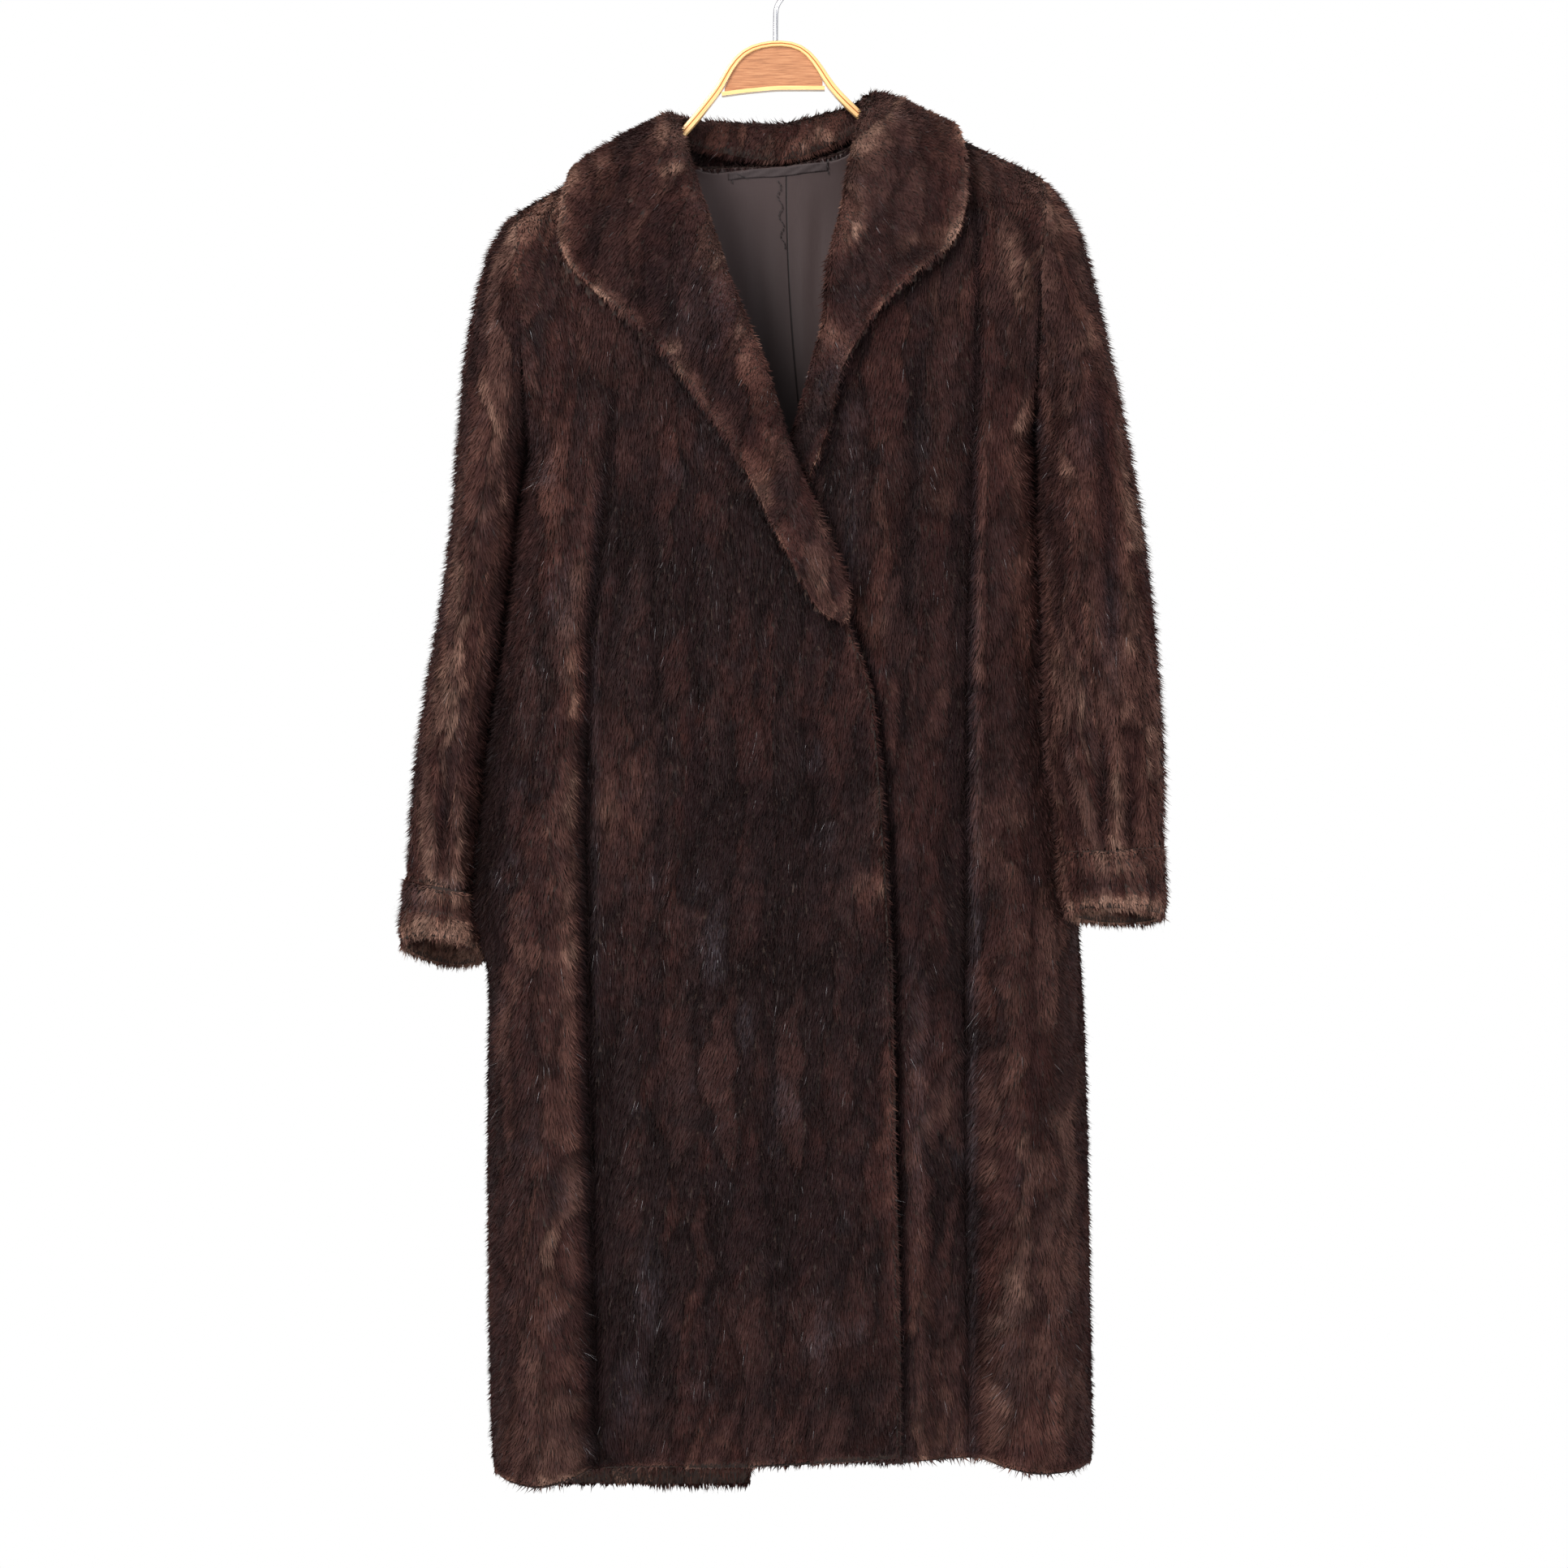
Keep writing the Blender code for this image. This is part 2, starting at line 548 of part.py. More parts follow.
for name, (outer, inner) in body.items():
    draw_back(outer, inner, (slice(None), 0), (slice(None), 1), SEAM_GAP / 2)
    draw_back(outer, inner, (-1, slice(None)), (-2, slice(None)), SEAM_GAP / 2)
    if name.startswith("back"):
        draw_back(outer, inner, (slice(None), -1), (slice(None), -2), SEAM_GAP / 2)
    toward_body = 1.0 if name.endswith("right") else -1.0
    first = len(outer) - len(ARMHOLE_ANGLES)
    for grid in (outer, inner):
        grid[first:, 0, 0] += toward_body * SEAM_GAP / 2
    dress(solid(name, outer, inner), brown_mink)

# Sleeves and cuffs


def ring(row, angle):
    outer_x, outer_z, inner_x, inner_z, middle, half_front, half_back = row[:7]
    slope = row[7] if len(row) > 7 else 0.0
    turn = math.radians(angle)
    x = (outer_x + inner_x) / 2 + math.cos(turn) * (outer_x - inner_x) / 2
    z = (outer_z + inner_z) / 2 + math.cos(turn) * (outer_z - inner_z) / 2
    depth = half_front if math.sin(turn) > 0 else half_back
    y = middle - depth * math.sin(turn)
    return np.array([x, y, z - slope * (y - middle)])


def ring_inside(row, angle):
    """Inward in the ring's own plane, so that two pieces meet on one flat cut."""
    step = 3.0
    here = ring(row, angle)
    tangent = unit(ring(row, angle + step) - ring(row, angle - step))
    centre = (ring(row, 0.0) + ring(row, 180.0)) / 2
    across = centre - here
    across = across - tangent * float(np.dot(across, tangent))
    return here + unit(across) * FUR_WALL


def sleeve_solid(name, table, rings, around, gathers):
    table = np.asarray(table, float)
    centres = (table[:, 0:2] + table[:, 2:4]) / 2
    levels = np.concatenate([[0.0], np.cumsum(np.linalg.norm(np.diff(centres, axis=0), axis=1) + 4.0)])
    rows = table if rings is None else hermite(levels, table, np.linspace(0.0, levels[-1], rings))
    angles = np.arange(around) * 360.0 / around
    outer = np.array([[ring(row, a) for a in angles] for row in rows])
    centre = outer.mean(axis=1, keepdims=True)
    normals = grid_normals(outer, outer - centre, closed=True)
    if gathers:
        share = np.linspace(0.0, 1.0, len(rows))
        rise = np.clip((share - 0.72) / 0.2, 0.0, 1.0) * np.clip((1.0 - share) / 0.05, 0.0, 1.0)
        wave = np.cos(np.radians(angles) * gathers + 2.0)
        outer += normals * (GATHER_DEPTH * rise[:, None] * wave)[:, :, None]
        normals = grid_normals(outer, outer - centre, closed=True)
    inner = outer - normals * FUR_WALL
    if gathers:
        # Every second point of the first ring lies on the straight line that the body's rows make
        for j, angle in enumerate(angles):
            is_front = angle <= 180.0
            oval = angle if is_front else 360.0 - angle
            inner[0, j] = armhole_inside(table, oval, is_front)
        for grid in (outer, inner):
            grid[0, 1::2] = (grid[0, 0::2] + np.roll(grid[0, 0::2], -1, axis=0)) / 2
        toward_hand = -1.0 if table[0][0] < 0 else 1.0
        under_arm = np.clip((112.5 - np.abs(angles - 180.0)) / 45.0, 0.0, 1.0)
        outer[0, :, 0] += toward_hand * (SEAM_GAP / 2 + 1.1 * under_arm)
        inner[0, :, 0] += toward_hand * (SEAM_GAP / 2 + 1.1 * under_arm)
        inner[-1] = [ring_inside(rows[-1], a) for a in angles]
    else:
        inner[0] = [ring_inside(rows[0], a) for a in angles]
    return solid(name, outer, inner, closed=True)


dress(sleeve_solid("sleeve_right", SLEEVE_RIGHT, None, SLEEVE_AROUND, GATHERS), brown_mink)
dress(sleeve_solid("sleeve_left", SLEEVE_LEFT, None, SLEEVE_AROUND, GATHERS), brown_mink)
dress(sleeve_solid("cuff_right", CUFF_RIGHT, None, CUFF_AROUND, 0), brown_mink)
dress(sleeve_solid("cuff_left", CUFF_LEFT, None, CUFF_AROUND, 0), brown_mink)

# Collar and lapels, laid on the coat

stations = np.array([list(r) + list(e) + [t, l, f] for r, e, t, l, f in COLLAR], float)
spans = np.linalg.norm(np.diff(stations[:, 0:3], axis=0), axis=1)
spans = spans + np.linalg.norm(np.diff(stations[:, 3:6], axis=0), axis=1)
levels = np.concatenate([[0.0], np.cumsum(spans)])
stations = hermite(levels, stations, np.linspace(0.0, levels[-1], COLLAR_STEPS))
right_tree = surface_tree(front_right, back_right, back_left)
left_tree = surface_tree(front_left, back_left, back_right)

leaf = np.zeros((COLLAR_STEPS, LEAF_POINTS, 3))
facing = np.zeros_like(leaf)
for i, row in enumerate(stations):
    roll, edge, first = row[0:3], row[3:6], row[8]
    tree = right_tree if i < COLLAR_STEPS / 2 else left_tree
    width = np.linalg.norm(edge - roll)
    for k in range(LEAF_POINTS):
        share = first / width + (1 - first / width) * k / (LEAF_POINTS - 1)
        guess = roll + (edge - roll) * share
        hit, normal = tree.find_nearest(Vector(guess))[:2]
        normal = np.array(normal)
        if np.dot(normal, np.array([0.0, -1.0 if hit[1] < 0 else 1.0, 0.6])) < 0:
            normal = -normal
        leaf[i, k] = np.array(hit)
        facing[i, k] = normal
for _ in range(3):
    spread = facing.copy()
    spread[1:-1] = facing[:-2] + 2 * facing[1:-1] + facing[2:]
    facing = unit(spread)
over_shoulder = np.exp(-(((stations[:, 1] - 6.0) / 24.0) ** 2))
lift = (LAY_GAP + 2.6 + 3.8 * over_shoulder)[:, None, None]
under = leaf + facing * lift
upper = leaf + facing * (lift + COLLAR_WALL)

fur_side, coat_side = [], []
for i, row in enumerate(stations):
    roll, turn, back = row[0:3], row[6], row[7]
    n = facing[i, 0]
    a = unit(upper[i, 0] - (roll + n * COLLAR_ROLL))
    n = unit(n - a * float(np.dot(n, a)))
    start = upper[i, 0] - a * max(float(np.dot(upper[i, 0] - roll, a)), COLLAR_ROLL)
    centre = start + a * COLLAR_ROLL - n * COLLAR_ROLL
    outer_line, inner_line = [], []
    end = math.radians(90.0 + turn)
    tangent = -a * math.sin(end) + n * math.cos(end)
    radial = a * math.cos(end) + n * math.sin(end)
    outer_line.append(centre + radial * COLLAR_ROLL + tangent * back)
    inner_line.append(centre + radial * (COLLAR_ROLL - COLLAR_WALL) + tangent * back)
    for k in range(ROLL_POINTS):
        angle = end + (math.pi / 2 - end) * k / (ROLL_POINTS - 1)
        radial = a * math.cos(angle) + n * math.sin(angle)
        outer_line.append(centre + radial * COLLAR_ROLL)
        inner_line.append(centre + radial * (COLLAR_ROLL - COLLAR_WALL))
    outer_line.extend(upper[i])
    inner_line.extend(under[i])
    fur_side.append(outer_line)
    coat_side.append(inner_line)
dress(solid("collar", np.array(fur_side), np.array(coat_side)), brown_mink)

# Lining of the back, which shows in the neck

right_half = body["back_right"][1][:, 1:]
left_half = body["back_left"][1][:, 1:-1][:, ::-1]
lining = np.concatenate([right_half, left_half], axis=1)
n_lining = grid_normals(lining, -front)
loose = np.full(len(lining), LAY_GAP + 0.5)
loose[-2:] += 2.0
near = lining - n_lining * loose[:, None, None]
near[0, :, 2] += LINING_UP
far = near - n_lining * LINING_WALL
share = np.where(np.arange(near.shape[1]) < HALF + 2, 0.4, 0.85)
share = np.minimum(share, share[::-1])[:, None]
near[-1] = near[-2] + (near[-1] - near[-2]) * share
far[-1] = far[-2] + (far[-1] - far[-2]) * share
keep_rows = [i for i in range(len(near)) if i not in (1, 3, 6, 8, 10, 12)]
last = near.shape[1] - 1
keep_cols = [j for j in range(last + 1) if min(j, last - j) < 4 or j % 2 == 1]
cut = np.ix_(keep_rows, keep_cols)
dress(solid("lining_back", near[cut], far[cut]), grey_satin)

# Hanger


def side_lines(line, thick):
    """The two edges of a strip of varying thickness, inner one first."""
    line = np.asarray(line, float)
    along = unit(np.gradient(line, axis=0))
    out = np.stack([-along[:, 1], along[:, 0]], axis=1)
    half = np.asarray(thick, float)[:, None] / 2
    return line - out * half, line + out * half


def plate(name, lower, upper, depth, made):
    """A flat plate between two lines in the hanger's plane, centred front to back."""
    mesh = bmesh.new()
    rings = []
    for y in (-depth / 2, depth / 2):
        rings.append(
            [[mesh.verts.new(Vector((x, y, z)) * MM) for x, z in line] for line in (lower, upper)]
        )
    (low_f, up_f), (low_b, up_b) = rings
    for i in range(len(lower) - 1):
        mesh.faces.new((low_f[i], low_f[i + 1], up_f[i + 1], up_f[i]))
        mesh.faces.new((low_b[i], low_b[i + 1], up_b[i + 1], up_b[i]))
        mesh.faces.new((low_f[i], low_f[i + 1], low_b[i + 1], low_b[i]))
        mesh.faces.new((up_f[i], up_f[i + 1], up_b[i + 1], up_b[i]))
    mesh.faces.new((low_f[0], up_f[0], up_b[0], low_b[0]))
    mesh.faces.new((low_f[-1], up_f[-1], up_b[-1], low_b[-1]))
    bmesh.ops.recalc_face_normals(mesh, faces=mesh.faces)
    dress(finish(name, mesh), made)


def resample(line, count):
    line = np.asarray(line, float)
    knots = np.concatenate([[0.0], np.cumsum(np.linalg.norm(np.diff(line, axis=0), axis=1))])
    return hermite(knots, line, np.linspace(0.0, knots[-1], count))


bow = resample(BOW, 60)
arch = np.exp(-((bow[:, 0] / 38.0) ** 4))
bow_thick = BOW_THICK + (BOW_THIN - BOW_THICK) * arch
bow_low, bow_high = side_lines(bow, bow_thick)
plate("hanger_bow", bow_low, bow_high, BOW_DEPTH, pale_beech)

rail = resample(RAIL, 12)
rail_low, rail_high = side_lines(rail, np.full(len(rail), RAIL_THICK))
plate("hanger_rail", rail_low, rail_high, BOW_DEPTH - 1.0, pale_beech)

# The web fills the arch, a hair clear of the bow and the rail
web_top = side_lines(bow, bow_thick + 2 * SEAM_GAP + 0.1)[0]
web_low, web_high = [], []
for x, z in web_top:
    rail_z = float(np.interp(x, rail_high[:, 0], rail_high[:, 1])) + SEAM_GAP + 0.05
    if rail_high[0, 0] + 1.0 < x < rail_high[-1, 0] - 1.0 and z > rail_z + 1.0:
        web_low.append((x, rail_z))
        web_high.append((x, z))
plate("hanger_web", web_low, web_high, WEB_THICK, brown_veneer)

# Wire hook, round in section
turns = np.radians(np.linspace(*HOOK_ROUND, 20))
wire_round = HOOK_RADIUS + WIRE / 2
around = np.stack([wire_round * np.cos(turns), wire_round * np.sin(turns) - HOOK_RADIUS], axis=1)
wire_line = resample(np.concatenate([HOOK_STEM, around]), 30)
wire = bpy.data.curves.new("hanger_hook", "CURVE")
wire.dimensions = "3D"
wire.bevel_depth = WIRE / 2 * MM
wire.bevel_resolution = 1
wire.use_fill_caps = True
spline = wire.splines.new("POLY")
spline.points.add(len(wire_line) - 1)
for point, (x, z) in zip(spline.points, wire_line):
    point.co = (x * MM, 0.0, z * MM, 1.0)
hook = bpy.data.objects.new("hanger_hook", wire)
coat.objects.link(hook)
dress(hook, bright_steel)
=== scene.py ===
"""Fur coat hung on a bentwood hanger: mink pieced from small skins, satin lining, beech, steel.

Metres, +Z up. The coat's front faces -Y, and right and left are the wearer's. Each piece is made
from the solid that it stands for, so that it lies where that solid lies.
"""
import math

import bmesh
import bpy
import numpy as np
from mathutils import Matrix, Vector
from mathutils.bvhtree import BVHTree
from mathutils.kdtree import KDTree


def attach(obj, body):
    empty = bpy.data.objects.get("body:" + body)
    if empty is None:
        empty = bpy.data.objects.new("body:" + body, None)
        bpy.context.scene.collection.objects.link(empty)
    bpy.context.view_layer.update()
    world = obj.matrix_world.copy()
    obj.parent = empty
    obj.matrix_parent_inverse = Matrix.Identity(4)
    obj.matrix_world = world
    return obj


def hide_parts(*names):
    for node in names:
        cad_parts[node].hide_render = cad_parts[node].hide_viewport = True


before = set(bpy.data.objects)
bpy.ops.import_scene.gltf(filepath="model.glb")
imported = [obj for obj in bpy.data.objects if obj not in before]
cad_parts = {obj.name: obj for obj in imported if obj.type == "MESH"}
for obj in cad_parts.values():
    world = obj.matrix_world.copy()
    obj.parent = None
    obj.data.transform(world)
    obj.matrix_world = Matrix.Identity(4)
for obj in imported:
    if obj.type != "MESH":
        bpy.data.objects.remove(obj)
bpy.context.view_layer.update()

MM = 0.001

# Hook
# A single bright steel wire, bent round cold and pushed down through the top of the bow.
# It stays in the plane of the hanger, and its free end is cut square.

HOOK_WIRE = 4.4 * MM
HOOK_INSIDE = 18.0 * MM
HOOK_STEM = [(0.4, -76.4), (0.4, -60.0), (0.8, -48.0), (6.5, -40.5)]  # across and up, in mm
HOOK_FROM, HOOK_TO = -46.0, 204.0  # degrees round the hook


class Value:
    """A socket of a node tree. Arithmetic on it adds Math nodes, or Vector Math on a vector."""

    def __init__(self, tree, socket):
        self.tree = tree
        self.socket = socket

    def work(self, operation, first, second):
        sockets = [v.socket.type for v in (first, second) if isinstance(v, Value)]
        many = "VECTOR" in sockets or "RGBA" in sockets
        kind = "ShaderNodeVectorMath" if many else "ShaderNodeMath"
        node = self.tree.nodes.new(kind)
        node.operation = operation
        for i, value in enumerate((first, second)):
            if isinstance(value, Value):
                self.tree.links.new(value.socket, node.inputs[i])
            else:
                node.inputs[i].default_value = (value,) * 3 if many else value
        return Value(self.tree, node.outputs[0])

    def __add__(self, other):
        return self.work("ADD", self, other)

    def __sub__(self, other):
        return self.work("SUBTRACT", self, other)

    def __rsub__(self, other):
        return self.work("SUBTRACT", other, self)

    def __mul__(self, other):
        return self.work("MULTIPLY", self, other)

    def __abs__(self):
        return self.work("ABSOLUTE", self, 0.0)

    __radd__, __rmul__ = __add__, __mul__


class Nodes:
    """The nodes of one tree, added by type, with their settings first and then their sockets."""

    def __init__(self, tree):
        self.tree = tree

    def add(self, kind, settings=None, sockets=None, output=0):
        node = self.tree.nodes.new(kind)
        for key, value in (settings or {}).items():
            if key == "stops":
                ramp = node.color_ramp.elements
                while len(ramp) < len(value):
                    ramp.new(0.5)
                for stop, (place, colour) in zip(ramp, value):
                    stop.position = place
                    stop.color = (*colour, 1.0)
            else:
                setattr(node, key, value)
        for key, value in (sockets or {}).items():
            if isinstance(key, int):
                socket = node.inputs[key]
            else:
                socket = next(s for s in node.inputs if s.name == key and s.enabled)
            if isinstance(value, Value):
                self.tree.links.new(value.socket, socket)
            else:
                socket.default_value = value
        if isinstance(output, str):
            made = next(s for s in node.outputs if s.name == output and s.enabled)
        else:
            made = [s for s in node.outputs if s.enabled][output]
        return Value(self.tree, made)

    def part(self, vector, axis):
        return self.add("ShaderNodeSeparateXYZ", sockets={0: vector}, output=axis)

    def between(self, value, low, high, bottom=0.0, top=1.0):
        """The value carried from low and high to bottom and top, and held there beyond them."""
        sockets = {"Value": value, "From Min": low, "From Max": high, "To Min": bottom, "To Max": top}
        return self.add("ShaderNodeMapRange", sockets=sockets)

    def mix(self, factor, first, second):
        sockets = {"Factor": factor, "A": first, "B": second}
        return self.add("ShaderNodeMix", {"data_type": "RGBA"}, sockets)


class Finish(Nodes):
    """A material: constants go on the shader's own sockets, patterns are linked to a few."""

    def __init__(self, name, **constants):
        self.material = bpy.data.materials.new(name)
        self.material.use_nodes = True
        super().__init__(self.material.node_tree)
        self.shader = self.tree.nodes["Principled BSDF"]
        for key, value in constants.items():
            self.shader.inputs[key.replace("_", " ")].default_value = value

    def feed(self, socket, value):
        self.tree.links.new(value.socket, self.shader.inputs[socket])

    def place(self):
        return self.add("ShaderNodeTexCoord", output="Object")

    def attribute(self, name):
        return self.add("ShaderNodeAttribute", {"attribute_name": name}, output="Fac")

    def noise(self, coordinate, scale, detail=2.0, roughness=0.5):
        """A cloudy pattern, with so many turns to one unit along each axis."""
        turned = self.add("ShaderNodeMapping", sockets={"Vector": coordinate, "Scale": scale})
        sockets = {"Vector": turned, "Scale": 1.0, "Detail": detail, "Roughness": roughness}
        return self.add("ShaderNodeTexNoise", sockets=sockets)

    def ramp(self, value, stops):
        return self.add("ShaderNodeValToRGB", {"stops": stops}, {"Fac": value})

    def relief(self, height, strength, distance):
        sockets = {"Strength": strength, "Distance": distance, "Height": height}
        self.feed("Normal", self.add("ShaderNodeBump", sockets=sockets))


def new_object(name, mesh, *materials):
    for material in materials:
        mesh.materials.append(material)
    made = bpy.data.objects.new(name, mesh)
    bpy.context.scene.collection.objects.link(made)
    return made


def as_shown(obj):
    """The object's mesh with its modifiers worked in."""
    shown = bpy.context.evaluated_depsgraph_get()
    shown.update()
    return bpy.data.meshes.new_from_object(obj.evaluated_get(shown), depsgraph=shown)


steel = Finish("bright_steel", Metallic=1.0, Roughness=0.2, Base_Color=(0.62, 0.62, 0.64, 1.0))
drawn = steel.noise(steel.place(), (900.0, 900.0, 60.0))
steel.feed("Roughness", 0.14 + 0.16 * drawn)

turns = np.radians(np.linspace(HOOK_FROM, HOOK_TO, 40))
bend = HOOK_INSIDE + HOOK_WIRE / 2
hook_line = [(x * MM, z * MM) for x, z in HOOK_STEM]
hook_line += [(bend * math.cos(t), bend * math.sin(t) - HOOK_INSIDE) for t in turns]
route = bpy.data.curves.new("hook_route", "CURVE")
route.dimensions = "3D"
route.bevel_depth = HOOK_WIRE / 2
route.bevel_resolution = 4
route.use_fill_caps = True
spline = route.splines.new("NURBS")
spline.points.add(len(hook_line) - 1)
for point, (x, z) in zip(spline.points, hook_line):
    point.co = (x, 0.0, z, 1.0)
spline.order_u = 3
spline.use_endpoint_u = True
spline.resolution_u = 3
route_object = bpy.data.objects.new("hook_route", route)
bpy.context.scene.collection.objects.link(route_object)
hook = new_object("hook", as_shown(route_object), steel.material)
bpy.data.objects.remove(route_object)
wire = bmesh.new()
wire.from_mesh(hook.data)
bmesh.ops.remove_doubles(wire, verts=wire.verts, dist=0.01 * MM)
bmesh.ops.recalc_face_normals(wire, faces=wire.faces)
wire.to_mesh(hook.data)
wire.free()
hook.data.shade_smooth()
hook.data.set_sharp_from_angle(angle=math.radians(50))
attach(hook, "root")
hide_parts("hanger_hook")

# Bow
# Two thin strips of pale beech, glued face to face, steamed and bent over a form to shoulders
# and arch. The glue shows as an orange line along the middle of the edge, and it is varnished.

GLUE_GROOVE = 0.35 * MM
BOW_ROUND = 1.1 * MM

# The strip's middle line and thickness, from its solid: the edge point that is nearest to one
# lies across the strip from it.
edge = np.array([v.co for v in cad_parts["hanger_bow"].data.vertices])
edge = np.unique(np.round(edge, 6), axis=0)
bow_depth = edge[:, 1].max() - edge[:, 1].min()
edge = edge[edge[:, 1] < 0][:, [0, 2]]
apart = np.linalg.norm(edge[:, None] - edge[None], axis=2)
np.fill_diagonal(apart, 1.0)
partner = apart.argmin(axis=1)
pairs = [(i, j) for i, j in enumerate(partner) if i < j and partner[j] == i]
middles = sorted((*(edge[i] + edge[j]) / 2, apart[i, j]) for i, j in pairs)
middles = np.array(middles)
bow_line, bow_thick = middles[:, :2], middles[:, 2]


def bow_section(thick, depth):
    """Round the strip's section, across and front to back, with the glue groove on both sides."""
    a, b, r, g = thick / 2, depth / 2, BOW_ROUND, GLUE_GROOVE
    half = [(-g, -b), (0.0, -b + g), (g, -b), (a - r, -b), (a - 0.3 * r, -b + 0.3 * r)]
    half += [(a, -b + r), (a, b - r), (a - 0.3 * r, b - 0.3 * r), (a - r, b)]
    return half + [(-x, -y) for x, y in half]


def join_rows(cage, rows, closed=True):
    """Faces between rows of points. Closed rows are rings, and get a face at both ends too."""
    for first, second in zip(rows[:-1], rows[1:]):
        for k in range(len(first) if closed else len(first) - 1):
            n = (k + 1) % len(first)
            cage.faces.new((first[k], first[n], second[n], second[k]))
    if closed:
        cage.faces.new(rows[0])
        cage.faces.new(rows[-1])
    bmesh.ops.recalc_face_normals(cage, faces=cage.faces)


def mesh_from(cage, name):
    mesh = bpy.data.meshes.new(name)
    cage.to_mesh(mesh)
    cage.free()
    return mesh


bow_line[1:-1] = 0.25 * bow_line[:-2] + 0.5 * bow_line[1:-1] + 0.25 * bow_line[2:]
fine = np.linspace(0, len(bow_line) - 1, 3 * len(bow_line))
steps = np.arange(len(bow_line))
bow_line = np.stack([np.interp(fine, steps, bow_line[:, i]) for i in (0, 1)], axis=1)
bow_thick = np.interp(fine, steps, bow_thick)
tangent = np.gradient(bow_line, axis=0)
tangent /= np.linalg.norm(tangent, axis=1, keepdims=True)
length_along = np.concatenate([[0.0], np.cumsum(np.linalg.norm(np.diff(bow_line, axis=0), axis=1))])
strip = bmesh.new()
grain = strip.loops.layers.uv.new("grain")
rings, places = [], {}
for (x, z), (tx, tz), thick, along in zip(bow_line, tangent, bow_thick, length_along):
    ring = []
    for across, y in bow_section(thick, bow_depth):
        vert = strip.verts.new((x - tz * across, y, z + tx * across))
        places[vert] = (along, across)
        ring.append(vert)
    rings.append(ring)
join_rows(strip, rings)
for face in strip.faces:
    for loop in face.loops:
        loop[grain].uv = places[loop.vert]
strip_mesh = mesh_from(strip, "hanger_strip")

beech = Finish("pale_beech", Roughness=0.35, Coat_Weight=0.4, Coat_Roughness=0.12)
run = beech.add("ShaderNodeUVMap", {"uv_map": "grain"})
fibre = beech.noise(run, (40.0, 1400.0, 1.0), 4.0, 0.6)
flecks = beech.noise(beech.place(), (260.0, 900.0, 260.0))
wood = beech.ramp(fibre, [(0.3, (0.80, 0.46, 0.17)), (0.7, (0.94, 0.62, 0.27))])
wood = beech.mix(0.25 * flecks, wood, (0.62, 0.32, 0.11, 1.0))
glue = beech.between(abs(beech.part(run, "Y")), 0.3 * MM, 0.7 * MM)
beech.feed("Base Color", beech.mix(glue, (0.45, 0.15, 0.035, 1.0), wood))
beech.relief(fibre, 0.15, 0.0002)

strip_mesh.shade_smooth()
strip_mesh.set_sharp_from_angle(angle=math.radians(40))
bow = new_object("bow", strip_mesh, beech.material)
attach(bow, "root")
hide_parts("hanger_bow")

# Rail and web
# A thin beech rail is let in under the arch, and a plate of brown veneer fills the arch above it.
# Both are flat stock, cut to the arch and glued, so the solids serve, with wood on them.

rail_wood = Finish("rail_beech", Roughness=0.35, Coat_Weight=0.4, Coat_Roughness=0.12)
rail_fibre = rail_wood.noise(rail_wood.place(), (40.0, 700.0, 1400.0), 4.0)
rail_tones = [(0.3, (0.74, 0.42, 0.15)), (0.7, (0.92, 0.60, 0.26))]
rail_wood.feed("Base Color", rail_wood.ramp(rail_fibre, rail_tones))
rail_wood.relief(rail_fibre, 0.15, 0.0002)
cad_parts["hanger_rail"].material_slots[0].material = rail_wood.material

veneer = Finish("brown_veneer", Roughness=0.32, Coat_Weight=0.5, Coat_Roughness=0.1)
wander = veneer.noise(veneer.place(), (12.0, 1.0, 40.0))
pores = veneer.noise(veneer.place() + 0.004 * wander, (45.0, 1.0, 900.0), 5.0, 0.65)
veneer_tones = [(0.28, (0.20, 0.075, 0.03)), (0.5, (0.42, 0.18, 0.08)), (0.75, (0.58, 0.29, 0.14))]
veneer.feed("Base Color", veneer.ramp(pores, veneer_tones))
veneer.relief(pores, 0.2, 0.0002)
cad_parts["hanger_web"].material_slots[0].material = veneer.material

# Lining of the back
# Grey-brown satin with one seam down the centre, sewn to the fronts by hand. It hangs loose
# behind the neck, in soft upright folds. A narrow woven tape lies across its top edge, and a
# wavy line of thread holds it down beside the seam.

SEAM_AT, SEAM_TOP = 9.4 * MM, -185.0 * MM
SEAM_LEAN, SEAM_BEND = 0.00275, 0.2725  # sideways for each metre down, and for its square
TAPE_LEFT, TAPE_RIGHT = (-39.0 * MM, -181.0 * MM), (44.0 * MM, -173.5 * MM)
TAPE_WIDE, TAPE_THICK = 7.0 * MM, 0.3 * MM


def smoothed(node, levels):
    """A solid's copy, its triangles paired into quads and subdivided, its sharp edges kept."""
    cage = bmesh.new()
    cage.from_mesh(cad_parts[node].data)
    bmesh.ops.remove_doubles(cage, verts=cage.verts, dist=0.01 * MM)
    flat, any_shape = math.radians(50), math.radians(180)
    bmesh.ops.join_triangles(
        cage, faces=cage.faces, angle_face_threshold=flat, angle_shape_threshold=any_shape
    )
    crease = cage.edges.layers.float.new("crease_edge")
    for line in cage.edges:
        if len(line.link_faces) == 2 and line.calc_face_angle(0.0) > math.radians(60):
            line[crease] = 0.9
    temporary = new_object(node + "_cage", mesh_from(cage, node + "_cage"))
    modifier = temporary.modifiers.new("smooth", "SUBSURF")
    modifier.levels = levels
    modifier.render_levels = levels
    made = as_shown(temporary)
    bpy.data.objects.remove(temporary)
    made.materials.clear()
    return made


def vectors_of(items, name):
    flat = np.zeros(len(items) * 3)
    items.foreach_get(name, flat)
    return flat.reshape(-1, 3)


def points_of(mesh):
    return vectors_of(mesh.vertices, "co")


def set_points(mesh, points):
    mesh.vertices.foreach_set("co", points.ravel())
    mesh.update()


